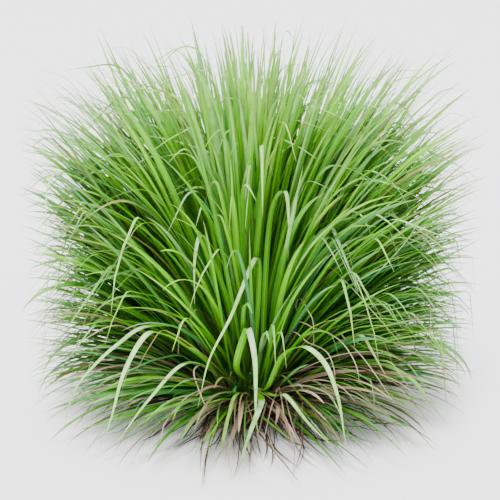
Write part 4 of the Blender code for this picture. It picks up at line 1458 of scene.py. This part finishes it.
def makeRootMaterial():
    # dull earthy brown, blotched, with fine wrinkles, lighter where the skin is rubbed
    made, tree, shader = newMaterial("rootSkin")
    place = addNode(tree, "ShaderNodeTexCoord").outputs["Object"]
    colour = rampOf(tree, noiseOf(tree, place, *rootLook["blotches"]), rootLook["stops"])
    wrinkles = noiseOf(tree, place, *rootLook["wrinkles"])
    rubbed = rescale(tree, wrinkles, 0.55, 0.75, 0.0, rootLook["rubbedAmount"])
    colour = mixColour(tree, rubbed, colour, rootLook["rubbedColour"])
    rough = rescale(tree, wrinkles, 0.3, 0.7, *rootLook["rough"])
    linkShader(tree, shader, colour, rough, {
        "Strength": rootLook["bump"], "Distance": rootLook["bumpDepth"], "Height": wrinkles})
    return made


def makeCrown():
    rng = np.random.default_rng(crown["seed"])
    skin = Skin()
    skin.addGrid(crownSurface(), {"leafTone": 0.5}, endQuads(crown["around"]))
    for _ in range(crown["roots"]):
        skin.addGrid(rootTube(rng), {"leafTone": rng.uniform()}, endQuads(crown["rootSides"]))
    addPiece("crown_rootstock", skin, makeRootMaterial(), "rootstock", "crown")


makeCrown()

# Old sheaths: short papery scales that stand round the outer stems and curl away from them

sheaths = {
    "count": 150,
    "ring": (0.060, 0.108),
    "rootHeight": 0.026,
    "lean": radians(12, 62),
    "length": (0.035, 0.085),
    "width": (0.004, 0.009),
    "bend": radians(10, 95),
    "bendOnset": 1.6,
    "wander": 0.3,
    "twist": 0.5,
    "ground": 0.005,
    "tone": (0.0, 0.7),
    "age": (0.2, 0.8),
    "paintedSheenSince": 3.0,  # past the tip, so they get no painted sheen
    "seed": 23,
}


def makeSheaths():
    rng = np.random.default_rng(sheaths["seed"])
    skin = Skin()
    share = np.linspace(0, 1, leafRule["fineSteps"])
    for _ in range(sheaths["count"]):
        heading = rng.uniform(0, 2 * math.pi)
        radius = rng.uniform(*sheaths["ring"])
        root = np.array([radius * math.cos(heading), radius * math.sin(heading), sheaths["rootHeight"]])
        leans = rng.uniform(*sheaths["lean"]) * smooth(share / 0.3)
        leans = leans + rng.uniform(*sheaths["bend"]) * share ** sheaths["bendOnset"]
        headings = heading + rng.normal(0, sheaths["wander"]) * share
        line = layOnGround(walk(root, leans, headings, rng.uniform(*sheaths["length"])), sheaths["ground"])
        rise = rng.normal(0, sheaths["twist"]) * share
        aside = np.stack([-np.sin(headings), np.cos(headings), rise], axis=-1)
        addBlade(skin, evenFrames(line, aside), rng.uniform(*sheaths["width"]), blade["rings"],
                 rng.uniform(*sheaths["tone"]), rng.uniform(*sheaths["age"]), sheaths["paintedSheenSince"])
    addPiece("old_sheaths", skin, dryBlade, "dry_leaf")


makeSheaths()
print("crown, roots and old sheaths done")

# Camera, floor and light

view = {"elevation": math.radians(18), "distance": 2.54, "target": 0.430, "lens": 74.0, "farthest": 200.0}
camera = addObject("camera", bpy.data.cameras.new("camera"))
camera.data.lens = view["lens"]
camera.data.clip_end = view["farthest"]
camera.location = (0.0, -view["distance"] * math.cos(view["elevation"]),
                   view["target"] + view["distance"] * math.sin(view["elevation"]))
camera.rotation_euler = (math.pi / 2 - view["elevation"], 0.0, 0.0)
bpy.context.scene.camera = camera

light = {
    "world": 1.55,
    "worldColour": (0.95, 0.98, 1.0, 1),
    "sun": 7.6,
    "sunAngle": math.radians(25),
    "sunTurn": radians(26, -12, 10),
    "floor": (0.95, 0.95, 0.95, 1),
    "floorRough": 0.9,
    "floorReach": 60.0,
}


def makeStage():
    mesh = bpy.data.meshes.new("floor")
    corners = light["floorReach"] * np.array([(-1, -1, 0), (1, -1, 0), (1, 1, 0), (-1, 1, 0)])
    mesh.from_pydata(corners.tolist(), [], [(0, 1, 2, 3)])
    paper, _, shader = newMaterial("paleFloor")
    shader.inputs["Base Color"].default_value = light["floor"]
    shader.inputs["Roughness"].default_value = light["floorRough"]
    mesh.materials.append(paper)
    addObject("floor", mesh)
    world = bpy.data.worlds.new("softWhite")
    world.use_nodes = True
    world.node_tree.nodes["Background"].inputs[0].default_value = light["worldColour"]
    world.node_tree.nodes["Background"].inputs[1].default_value = light["world"]
    bpy.context.scene.world = world
    sun = addObject("skyLight", bpy.data.lights.new("skyLight", "SUN"))
    sun.data.energy = light["sun"]
    sun.data.angle = light["sunAngle"]
    sun.rotation_euler = light["sunTurn"]


makeStage()
